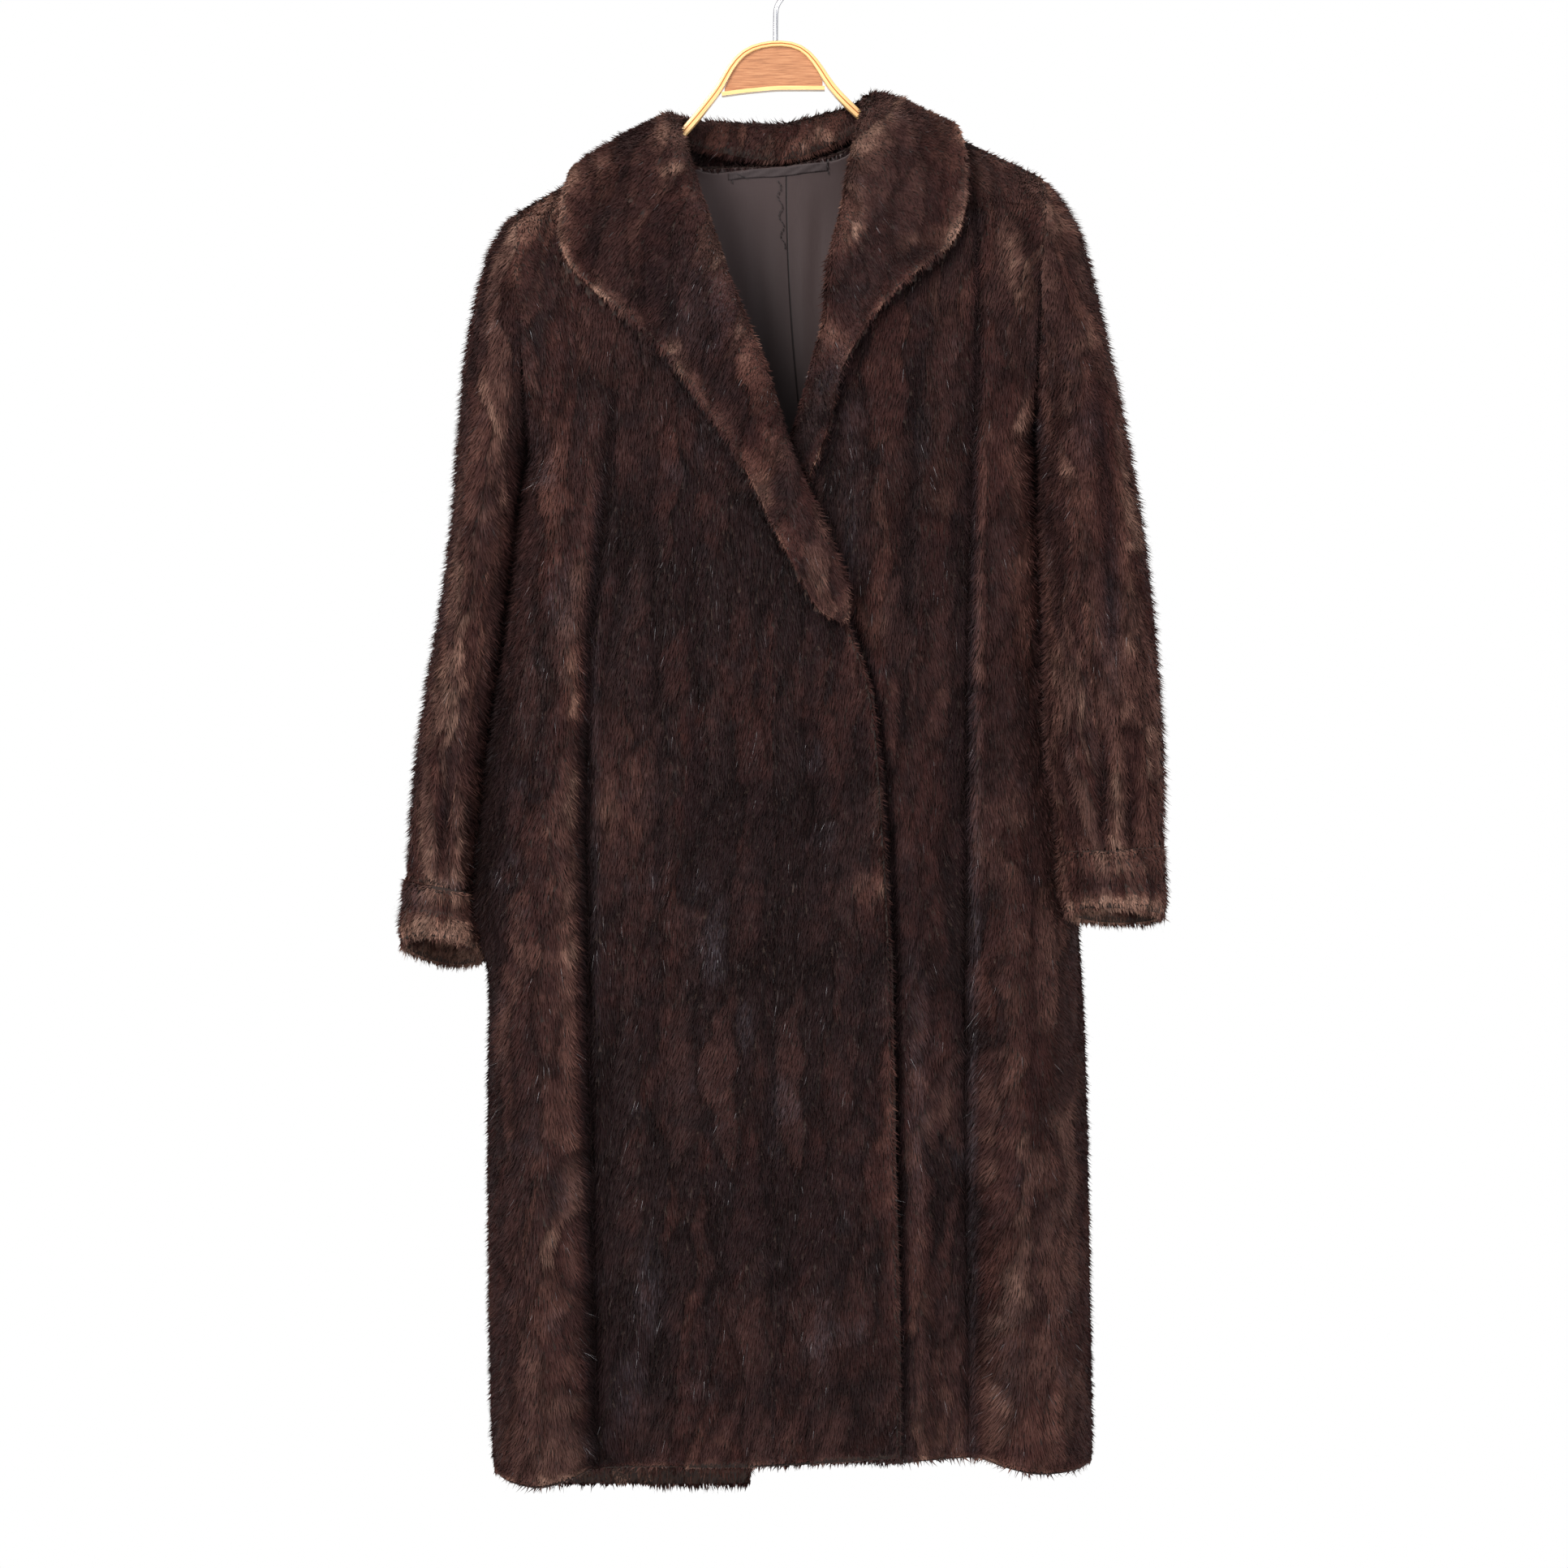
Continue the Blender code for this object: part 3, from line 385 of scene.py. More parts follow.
def soft_folds(points, folds):
    """Raise or sink soft lines in a sheet, each given by its width, height and course, in mm.

    They are drawn as seen from the front, and rise forward.
    """
    raised = np.zeros(len(points))
    for wide, deep, course in folds:
        course = np.array(course, float) * MM
        steps = np.linalg.norm(np.diff(course, axis=0), axis=1)
        run = np.concatenate([[0.0], np.cumsum(steps)])
        place = points[:, [0, 2]]
        nearest = np.full(len(points), 1.0)
        reached = np.zeros(len(points))
        for start, end, step, before in zip(course[:-1], course[1:], steps, run):
            share = np.clip((place - start) @ (end - start) / step**2, 0.0, 1.0)
            gap = np.linalg.norm(place - start - share[:, None] * (end - start), axis=1)
            closer = gap < nearest
            nearest = np.where(closer, gap, nearest)
            reached = np.where(closer, (before + share * step) / run[-1], reached)
        fade = np.sin(np.clip(reached, 0.0, 1.0) * math.pi) ** 0.4
        lift = deep * fade * np.exp(-((nearest / (wide * MM)) ** 2))
        points[:, 1] -= lift * MM
        raised += lift
    return raised


lining_mesh = smoothed("lining_back", 2)
lining_points = points_of(lining_mesh)
soft_folds(lining_points, [
    (7, 1.1, [(-30, -190), (-24, -260), (-12, -330)]),
    (6, -0.9, [(-12, -200), (-8, -310), (-2, -420)]),
    (7, 1.0, [(27, -190), (26, -280), (24, -360)]),
    (5, -0.8, [(38, -200), (35, -250), (30, -300)]),
    (3, 0.9, [(-34, -192), (-18, -208)]),
])
set_points(lining_mesh, lining_points)
lining_mesh.shade_smooth()

satin = Finish(
    "grey_satin", Roughness=0.42, Specular_IOR_Level=0.14, Sheen_Weight=0.05, Sheen_Roughness=0.4,
    Sheen_Tint=(0.78, 0.68, 0.68, 1.0),
)
where = satin.place()
drop = SEAM_TOP - satin.part(where, "Z")
seam_line = SEAM_AT + SEAM_LEAN * drop + SEAM_BEND * drop * drop
seam = satin.between(abs(satin.part(where, "X") - seam_line), 0.2 * MM, 1.0 * MM)
warp = satin.noise(where, (2600.0, 200.0, 120.0))
weft = satin.noise(where, (150.0, 200.0, 2600.0))
weave = 0.6 * warp + 0.4 * weft
cloudy = satin.noise(where, (14.0, 14.0, 14.0), 3.0)
satin_tone = satin.mix(weave, (0.052, 0.0365, 0.0355, 1.0), (0.074, 0.0530, 0.0510, 1.0))
satin_tone = satin.mix(0.35 * cloudy, satin_tone, (0.043, 0.0310, 0.0320, 1.0))
satin.feed("Base Color", satin.mix(seam, (0.012, 0.009, 0.009, 1.0), satin_tone))
satin.feed("Roughness", 0.34 + 0.16 * weave)
satin.relief(seam * 0.8 + weave * 0.2, 0.5, 0.0008)

lining = new_object("lining", lining_mesh, satin.material)
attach(lining, "root")
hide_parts("lining_back")
lining_tree = BVHTree.FromPolygons(
    [Vector(p) for p in points_of(lining_mesh)], [tuple(f.vertices) for f in lining_mesh.polygons]
)


def on_lining(x, z, proud):
    """A point that lies proud of the lining's front, at one place seen from the front."""
    hit = lining_tree.ray_cast(Vector((x, -0.1, z)), Vector((0.0, 1.0, 0.0)))[0]
    return Vector((x, (hit.y if hit else 0.03) - proud, z))


tape_cage = bmesh.new()
tape_rows = []
for t in np.linspace(0.0, 1.0, 43):
    x = TAPE_LEFT[0] + (TAPE_RIGHT[0] - TAPE_LEFT[0]) * t
    z = TAPE_LEFT[1] + (TAPE_RIGHT[1] - TAPE_LEFT[1]) * t + 0.5 * MM * math.sin(t * 9.0)
    waves = [0.6 * MM + 0.25 * MM * math.sin(t * 31.0 + k) for k in range(7)]
    row = [on_lining(x, z - TAPE_WIDE * k / 6, proud) for k, proud in enumerate(waves)]
    tape_rows.append([tape_cage.verts.new(point) for point in row])
join_rows(tape_cage, tape_rows, closed=False)
tape = new_object("neck_tape", mesh_from(tape_cage, "neck_tape"))
tape_wall = tape.modifiers.new("wall", "SOLIDIFY")
tape_wall.thickness = TAPE_THICK
tape_wall.offset = 0.0
tape_mesh = as_shown(tape)
bpy.data.objects.remove(tape)
woven = Finish("grey_tape", Roughness=0.6, Specular_IOR_Level=0.15)
ribs = woven.noise(woven.place(), (2400.0, 200.0, 300.0))
tape_tones = [(0.3, (0.040, 0.030, 0.030)), (0.7, (0.060, 0.046, 0.046))]
woven.feed("Base Color", woven.ramp(ribs, tape_tones))
woven.relief(ribs, 0.4, 0.0003)
tape_mesh.shade_smooth()
tape = new_object("neck_tape", tape_mesh, woven.material)
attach(tape, "root")

# The stitches: a wavy line down beside the seam, a tack across each end of the tape and one
# on it. Their places are in millimetres.
STITCH_LONG, STITCH_APART, STITCH_PROUD = 2.8 * MM, 3.2 * MM, 1.1 * MM
THREAD = 0.75 * MM
TACKS = [
    [(-38.0, -180.0), (-35.5, -189.5)],
    [(-30.0, -183.5), (-24.0, -186.0)],
    [(43.5, -173.0), (44.0, -181.5)],
]
basting = [
    (2.7 + 4.0 * t + 1.7 * math.sin(21.0 * t), -189.0 - 54.0 * t) for t in np.linspace(0, 1, 40)
]
route_verts, route_edges = [], []
for line in [basting] + TACKS:
    for k, (x, z) in enumerate(line):
        if k:
            route_edges.append((len(route_verts) - 1, len(route_verts)))
        route_verts.append(on_lining(x * MM, z * MM, STITCH_PROUD))
stitch_route = bpy.data.meshes.new("stitch_route")
stitch_route.from_pydata(route_verts, route_edges, [])
stitch_route = new_object("stitch_route", stitch_route)

thread = bmesh.new()
loops, quarters = [], np.radians([45, 135, 225, 315])
for t in np.linspace(-1.0, 1.0, 5):
    x, raised = 0.5 * t * STITCH_LONG, 0.6 * THREAD * (1.0 - t * t)
    corners = [(0.5 * THREAD * math.cos(a), 0.5 * THREAD * math.sin(a)) for a in quarters]
    loops.append([thread.verts.new((x, y - raised, z)) for y, z in corners])
join_rows(thread, loops)
one_stitch = bpy.data.objects.new("stitch", mesh_from(thread, "stitch"))
cotton = Finish("dark_thread", Roughness=0.7, Base_Color=(0.012, 0.008, 0.008, 1.0))


class Growth(Nodes):
    """The nodes of a tree that sets one shape again and again, with the tree's inputs by name."""

    def __init__(self, name, **inputs):
        super().__init__(bpy.data.node_groups.new(name, "GeometryNodeTree"))
        for key, kind in inputs.items():
            self.tree.interface.new_socket(key, in_out="INPUT", socket_type="NodeSocket" + kind)
        self.tree.interface.new_socket(name, in_out="OUTPUT", socket_type="NodeSocketGeometry")
        given = self.tree.nodes.new("NodeGroupInput")
        self.take = {key: Value(self.tree, given.outputs[key]) for key in inputs}

    def other(self, value, output):
        """Another output of the node that a value comes from."""
        return Value(self.tree, value.socket.node.outputs[output])

    def vector(self, operation, *values):
        settings = {"operation": operation}
        return self.add("ShaderNodeVectorMath", settings, dict(enumerate(values)))

    def scaled(self, vector, factor):
        sockets = {"Vector": vector, "Scale": factor}
        return self.add("ShaderNodeVectorMath", {"operation": "SCALE"}, sockets)

    def aligned(self, sockets, **settings):
        return self.add("FunctionNodeAlignRotationToVector", settings, sockets)

    def set_out(self, points, **sockets):
        """The shape on every point, realized."""
        shape = self.add("GeometryNodeObjectInfo", {}, {"Object": self.take["Shape"]}, "Geometry")
        sockets = {"Points": points, "Instance": shape, **sockets}
        set_out = self.add("GeometryNodeInstanceOnPoints", sockets=sockets)
        return self.add("GeometryNodeRealizeInstances", sockets={"Geometry": set_out})

    def end(self, made):
        sockets = {"Geometry": made, "Material": self.take["Finish"]}
        made = self.add("GeometryNodeSetMaterial", sockets=sockets)
        out = self.tree.nodes.new("NodeGroupOutput")
        self.tree.links.new(made.socket, out.inputs[0])
        return self.tree


def stitch_tree():
    """One stitch after another along a line, each turned to lie along it."""
    nodes = Growth(
        "Stitches", Line="Geometry", Shape="Object", Apart="Float", Uneven="Float", Seed="Int",
        Finish="Material",
    )
    take = nodes.take
    course = nodes.add("GeometryNodeMeshToCurve", sockets={"Mesh": take["Line"]})
    sockets = {"Curve": course, "Length": take["Apart"]}
    places = nodes.add("GeometryNodeCurveToPoints", {"mode": "LENGTH"}, sockets, "Points")
    sockets = {"Min": (-1.0, 0.0, -1.0), "Max": (1.0, 0.0, 1.0), "Seed": take["Seed"]}
    spin = nodes.add("FunctionNodeRandomValue", {"data_type": "FLOAT_VECTOR"}, sockets)
    way = nodes.other(places, "Tangent") + nodes.scaled(spin, take["Uneven"])
    turn = nodes.aligned({"Vector": way}, axis="X", pivot_axis="Y")
    return nodes.end(nodes.set_out(places, Rotation=turn))


def grow(base, tree, name, **given):
    """The tree's result on one object, as a plain mesh object."""
    modifier = base.modifiers.new(name, "NODES")
    modifier.node_group = tree
    for item in tree.interface.items_tree:
        if item.in_out == "INPUT" and item.name in given:
            modifier[item.identifier] = given[item.name]
    base.update_tag()
    mesh = as_shown(base)
    base.modifiers.remove(modifier)
    return new_object(name, mesh)


stitches = grow(
    stitch_route, stitch_tree(), "lining_stitches", Shape=one_stitch, Apart=STITCH_APART,
    Uneven=0.35, Seed=7, Finish=cotton.material,
)
bpy.data.objects.remove(stitch_route)
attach(stitches, "root")

# Backs
# Mink skins cut small and let in beside and below one another, joined by machine on the leather
# side, then nailed to shape. Two such panels make the back. The hair lies downward. Under it a
# pelt is leather, and the inside of the coat is lined, so the inner faces are satin.

# The flat space inside the coat at some levels: its edges and its depth, in metres.
BODY_LEVELS = [-1.300, -0.900, -0.450, -0.260]
BODY_RIGHT = [-0.185, -0.185, -0.165, -0.150]
BODY_LEFT = [0.200, 0.200, 0.187, 0.165]
BODY_DEPTH = [0.010, 0.008, 0.000, 0.000]

# How far a face is drawn in under its hair, on one haired face and on two, and a skin's size.
DRAWN_IN, DRAWN_IN_BOTH = 3.5 * MM, 3.0 * MM
SKIN_WIDE, SKIN_LONG = 26.0 * MM, 95.0 * MM

# How far out the body's edges lie at some levels, and how far they swell there, in mm.
SIDE_LEVELS = [-860, -835, -820, -800, -770, -740, -700, -660, -620, -560, -500, -440, -400]
SIDE_RIGHT = [236, 235, 234, 234, 232, 230, 227, 224, 221, 215, 210, 205, 202]
SWELL_RIGHT = [0, 3, 12, 18, 21, 21, 19, 17, 14, 9, 7, 5, 1]
SIDE_LEFT = [256, 254, 253, 252, 248, 245, 240, 237, 230, 226, 220, 214, 212]
SWELL_LEFT = [0, 0, 0, 2, 5, 7, 8, 9, 10, 10, 8, 5, 1]

# Where skins are lighter or darker than the rest, and where light and shade are painted on: a lit
# shoulder and rims, the lit inside of a cuff, shade under the lapel and a darker middle. Each is
# a middle, width, height and how much, in mm.
SKIN_TONES_AND_PAINTED_LIGHT = [
    (-276, -811, 42, 22, 0.75), (-300, -800, 16, 26, 0.35), (-246, -690, 12, 48, 0.4),
    (-291, -724, 14, 62, 0.35), (-250, -738, 14, 30, 0.3), (-272, -830, 80, 26, 0.85),
    (290, -808, 80, 20, 0.6), (262, -797, 44, 22, 0.65), (300, -792, 30, 16, 0.45),
    (78, -773, 34, 34, 0.45), (96, -760, 14, 20, 0.25), (84, -560, 14, 260, 0.16),
    (104, -575, 12, 60, 0.25), (103, -665, 10, 30, 0.25), (-150, -640, 12, 44, 0.28),
    (-57, -640, 16, 60, 0.16), (-9, -434, 26, 50, 0.45), (33, -513, 22, 44, 0.4),
    (56, -542, 18, 30, 0.3), (-33, -392, 22, 40, 0.2), (-84, -335, 20, 16, 0.4),
    (52, -331, 20, 50, 0.3), (122, -246, 60, 22, 0.25), (58, -242, 12, 24, 0.3),
    (-145, -185, 50, 30, 0.15), (-172, -246, 16, 60, 0.25), (-84, -403, 34, 60, 0.12),
    (-198, -648, 30, 42, 0.15), (-172, -816, 30, 80, 0.12), (189, -246, 30, 80, 0.42),
    (-84, -188, 26, 18, 0.4), (67, -240, 12, 16, 0.35), (198, -270, 16, 60, 0.3),
    (-57, -990, 12, 40, 0.3), (-139, -712, 24, 84, 0.45), (-160, -620, 22, 40, 0.2),
    (52, -506, 14, 50, 0.25), (35, -470, 14, 40, 0.3), (70, -560, 16, 46, 0.25),
    (-105, -560, 24, 80, 0.12), (262, -640, 14, 70, 0.25), (20, -400, 36, 90, -0.25),
    (-6, -340, 30, 60, -0.15), (0, -700, 170, 700, -0.18), (50, -300, 150, 340, -0.16),
    (-188, -1160, 30, 80, 0.1), (190, -1100, 26, 90, 0.12), (0, -1240, 520, 150, 0.1),
    (-190, -900, 60, 620, 0.1), (-190, -250, 90, 260, 0.22), (228, -235, 90, 260, 0.24),
    (150, -220, 150, 200, 0.12), (215, -880, 80, 700, 0.08), (-184, -1100, 60, 420, 0.12),
    (290, -560, 60, 460, 0.14), (-270, -690, 60, 240, 0.1), (110, -420, 160, 200, 0.06),
    (25, -800, 130, 130, -0.14), (118, -132, 70, 50, 0.2), (-185, -195, 70, 60, 0.22),
    (-178, -500, 44, 150, 0.14), (-190, -930, 44, 120, 0.14), (175, -620, 40, 120, 0.14),
    (125, -1210, 60, 110, 0.16), (-83, -1266, 150, 24, 0.3), (-190, -1262, 110, 20, 0.3),
    (-90, -1249, 190, 12, 0.3), (190, -1262, 110, 20, 0.22), (-166, -1030, 44, 96, -0.24),
    (0, -128, 170, 44, -0.22), (-190, -205, 90, 80, 0.4), (150, -165, 120, 90, 0.22),
    (280, -670, 110, 200, 0.18), (165, -1110, 130, 260, 0.14), (-272, -805, 80, 50, 0.2),
    (-205, -690, 40, 330, 0.1),
]

# Where a painted highlight lies in a cluster, on long hairs as if they catch the light.
PAINTED_GLINTS = [
    (-50, -820, 22, 66, 1.0), (-25, -884, 14, 40, 0.8), (8, -945, 28, 40, 0.7),
    (114, -930, 16, 200, 0.9), (-104, -1100, 26, 76, 1.0), (-50, -300, 64, 96, 0.6),
    (-174, -536, 22, 60, 0.8), (163, -880, 9, 800, 0.9), (-147, -700, 8, 500, 0.5),
    (60, -470, 12, 120, 0.6), (-300, -780, 40, 16, 0.8), (-262, -770, 20, 14, 0.8),
    (-270, -500, 14, 90, 0.6), (270, -560, 16, 120, 0.6), (-190, -420, 20, 60, 0.5),
    (120, -400, 18, 60, 0.5), (-120, -1180, 30, 60, 0.6), (190, -1150, 26, 90, 0.7),
    (40, -1130, 20, 50, 0.6), (250, -400, 20, 70, 0.5),
]

# Ovals of less than LARGE_OVAL lie on the arms only where they are further out than BODY_HALF,
# and else on the body only. Those of less than SMALL_OVAL are crisp. All three are in mm.
BODY_HALF = 243
SMALL_OVAL, LARGE_OVAL = 70, 200


def spread(table, x, z):
    """The sum at each place of the listed ovals: small ones are crisp and large ones soft."""
    total = np.zeros(len(x), np.float32)
    waver = 1.0 + 0.25 * np.sin(x / 5.0 + z / 9.0) + 0.18 * np.sin(z / 4.0 - x / 7.0)
    for middle_x, middle_z, wide, tall, much in table:
        off = ((x - middle_x) / (0.5 * wide)) ** 2 + ((z - middle_z) / (0.5 * tall)) ** 2
        if max(wide, tall) < SMALL_OVAL:
            total += much * np.exp(-(np.clip(off * waver, 0.0, 6.0) ** 2.2))
        else:
            total += much * np.exp(-(np.clip(off, 0.0, 6.0) ** 1.2))
    return total


whole_coat = {}
for name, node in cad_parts.items():
    node.data.calc_loop_triangles()
    places = [node.matrix_world @ v.co for v in node.data.vertices]
    corners = [tuple(t.vertices) for t in node.data.loop_triangles]
    whole_coat[name] = BVHTree.FromPolygons(places, corners)


def inside_body(points):
    """The nearest point of the flat space that the coat's body hangs round."""
    z = points[:, 2]
    rows = (BODY_RIGHT, BODY_LEFT, BODY_DEPTH)
    right, left, depth = (np.interp(z, BODY_LEVELS, row) for row in rows)
    top = BODY_LEVELS[-1]
    return np.stack([np.clip(points[:, 0], right, left), depth, np.minimum(z, top)], axis=1)


# Parts that lie over one another, how near the upper one is there, and how near sewn parts are.
LAYERED = ("front_right", "front_left", "collar")
OVERLAP, SEWN = 5 * MM, 1.2 * MM


def covered(name, points, normals):
    """Which of the points have another part of the coat lying right over them."""
    others = [
        (tree, OVERLAP if other in LAYERED and name in LAYERED else SEWN)
        for other, tree in whole_coat.items() if other != name
    ]
    found = np.zeros(len(points), bool)
    for i, (point, normal) in enumerate(zip(points, normals)):
        start = Vector(point + 0.5 * MM * normal)
        hits = (tree.ray_cast(start, Vector(normal), reach)[0] for tree, reach in others)
        found[i] = any(hit is not None for hit in hits)
    return found


def reach_to(tree, points, far):
    """How far each point is from a part of the coat, or far where it is further."""
    found = (tree.find_nearest(Vector(point), far)[3] for point in points)
    return np.array([far if reach is None else reach for reach in found])


def gap_to_rest(name, points):
    """How far each point is from the nearest other part of the coat, up to 30 mm."""
    others = [tree for other, tree in whole_coat.items() if other != name and "hanger" not in other]
    return np.min([reach_to(tree, points, 30 * MM) for tree in others], axis=0)


# How far the crease beside another part reaches, and where the one under an arm begins.
CREASE_WIDE = 22 * MM
ARMPIT, ARMPIT_SOFT = -270 * MM, 50 * MM


def beside_rest(name, points):
    """How deep each point lies in the crease beside another part: 1 right at it, 0 in the open."""
    joined = {"front": "back", "back": "front", "sleeve": "cuff"}[name.split("_")[0]]
    deep = np.zeros(len(points))
    for other, tree in whole_coat.items():
        kind = other.split("_")[0]
        if kind in (joined, "hanger", "lining"):
            continue
        if other == name or (name, other) == ("front_right", "front_left"):
            continue
        full = kind in ("collar", "front") and not name.startswith("sleeve")
        below = 1.0 if full else np.clip((ARMPIT - points[:, 2]) / ARMPIT_SOFT, 0.0, 1.0)
        deep = np.maximum(deep, (1.0 - reach_to(tree, points, CREASE_WIDE) / CREASE_WIDE) * below)
    return deep


def add_attribute(mesh, name, values, domain="POINT"):
    values = np.asarray(values, np.float32)
    kind, field = ("FLOAT", "value") if values.ndim == 1 else ("FLOAT_VECTOR", "vector")
    mesh.attributes.new(name, kind, domain).data.foreach_set(field, values.ravel())


def unit(vectors):
    return vectors / np.maximum(np.linalg.norm(vectors, axis=-1, keepdims=True), 1e-9)


def tree_of(points, chosen):
    """The chosen points in a tree that finds the nearest of them."""
    tree = KDTree(max(1, len(chosen)))
    for i in chosen:
        tree.insert(points[i], int(i))
    tree.balance()
    return tree


RIDGE_WIDE, RIDGE_HIGH = 26 * MM, 3 * MM


def standing_proud(points, normals, outer):
    """How far each outer point stands above its surroundings: 1 on a ridge, below 0 in a valley."""
    chosen = np.flatnonzero(outer)
    tree = tree_of(points, chosen)
    proud = np.zeros(len(points))
    for i in chosen:
        found = tree.find_range(points[i], RIDGE_WIDE)
        near = [j for place, j, gap in found if normals[j] @ normals[i] > 0.0]
        proud[i] = (points[i] - points[near].mean(axis=0)) @ normals[i]
    proud[outer] -= np.median(proud[outer])
    return np.clip(proud / RIDGE_HIGH, -1.6, 1.0)


SWELL_REACH = 45.0  # how far in from the body's edge, in mm


def side_swell(points):
    """The sides of the body fill out behind the sleeves, which lie against them."""
    x, z = points[:, 0] / MM, points[:, 2] / MM
    right = [np.interp(z, SIDE_LEVELS, row) for row in (SIDE_RIGHT, SWELL_RIGHT)]
    left = [np.interp(z, SIDE_LEVELS, row) for row in (SIDE_LEFT, SWELL_LEFT)]
    edge, swell = np.where(x < 0, right, left)
    near = np.clip(1.0 - (edge - np.abs(x)) / SWELL_REACH, 0.0, 1.0)
    return np.sign(x) * swell * MM * near * near * (3.0 - 2.0 * near)


# The hair is lower than FREE off the next part and lowest at TIGHT. It is also lower within
# RIM_WIDE of a rim, which is where a panel ends the way its hair is laid.
TIGHT, FREE, RIM_WIDE = 2 * MM, 16 * MM, 22 * MM


def pelt_of(name, outward, lay, flat_place, both=False, turned_in=-9.0, levels=1, folds=()):
    """A panel of skins from its solid: haired faces marked and drawn in, hair direction stored.

    Hair stands on its outer face, and on its inner one below the height turned_in or, with both,
    all over.
    """
    mesh = smoothed(name, levels)
    points, normals = points_of(mesh), vectors_of(mesh.vertex_normals, "vector")
    centres, facing = (vectors_of(mesh.polygons, kind) for kind in ("center", "normal"))
    haired = np.ones(len(centres), bool)
    if not both:
        haired = (facing * unit(outward(centres))).sum(axis=1) > -0.45
        haired |= centres[:, 2] < turned_in
    lined = ~haired
    look = np.flatnonzero(haired)
    haired[look] = ~covered(name, centres[look], facing[look])
    total = np.zeros_like(points)
    for face in np.flatnonzero(haired):
        total[list(mesh.polygons[face].vertices)] += facing[face]
    touched = np.linalg.norm(total, axis=1) > 1e-6
    room = np.clip((gap_to_rest(name, points) - TIGHT) / (FREE - TIGHT), 0.0, 1.0)
    along_lay = (unit(total) * unit(lay(points))).sum(axis=1)
    rim = tree_of(points, np.flatnonzero(along_lay > 0.6))
    from_rim = np.array([rim.find(p)[2] or 1.0 for p in points])  # points of the rim stay tall
    tall = np.minimum(0.6 + 0.4 * room, np.clip(from_rim / RIM_WIDE, 0.35, 1.0))
    tall = np.where(along_lay < -0.7, 0.75, tall)
    # Painted shadow in the crease beside another part, and none on parts haired on both sides.
    shadow = 0.0 if both else 0.80 * beside_rest(name, points) ** 3.0
    drawn = DRAWN_IN_BOTH if both else DRAWN_IN
    points[touched] -= (drawn * (0.3 + 0.7 * room[touched]))[:, None] * unit(total[touched])
    # Painted light along a rim: more of it, and wider, where both sides are haired.
    painted_rim_light, rim_soft = (0.48, 20 * MM) if both else (0.20, 9 * MM)
    light = painted_rim_light * np.clip(1.0 - from_rim / rim_soft, 0.0, 1.0)
    raised = soft_folds(points, folds)
    if name.startswith(("front", "back")):
        swelled = side_swell(points)
        points[:, 0] += swelled
        # Painted shade on the sides where they swell out behind the sleeves.
        shadow += 0.95 * (np.abs(swelled) / (max(SWELL_RIGHT) * MM)) ** 1.7
    set_points(mesh, points)
    # Painted light on ridges and raised folds, painted shade in valleys, creases and swelled sides.
    light += 0.22 * standing_proud(points, unit(total), touched) + 0.042 * raised - shadow
    down = lay(points)
    if not both:
        down -= 0.5 * unit(outward(points))
    down -= normals * (down * normals).sum(axis=1, keepdims=True)
    add_attribute(mesh, "fur", haired, "FACE")
    add_attribute(mesh, "tall", tall)
    add_attribute(mesh, "light", light)
    add_attribute(mesh, "nap", unit(down))
    add_attribute(mesh, "skins", flat_place(points, normals))
    mesh.polygons.foreach_set("material_index", np.where(lined, 1, 0))
    mesh.shade_smooth()
    return mesh


# One flat hair, 1 long and 1 wide at its root. Its three corners come root first.
blade_mesh = bpy.data.meshes.new("blade")
blade_mesh.from_pydata([(-0.5, 0.0, 0.0), (0.5, 0.0, 0.0), (0.0, 0.0, 1.0)], [], [(0, 1, 2)])
add_attribute(blade_mesh, "along", [0.0, 0.0, 1.0])
add_attribute(blade_mesh, "side", [-0.5, 0.5, 0.0])
blade = bpy.data.objects.new("blade", blade_mesh)


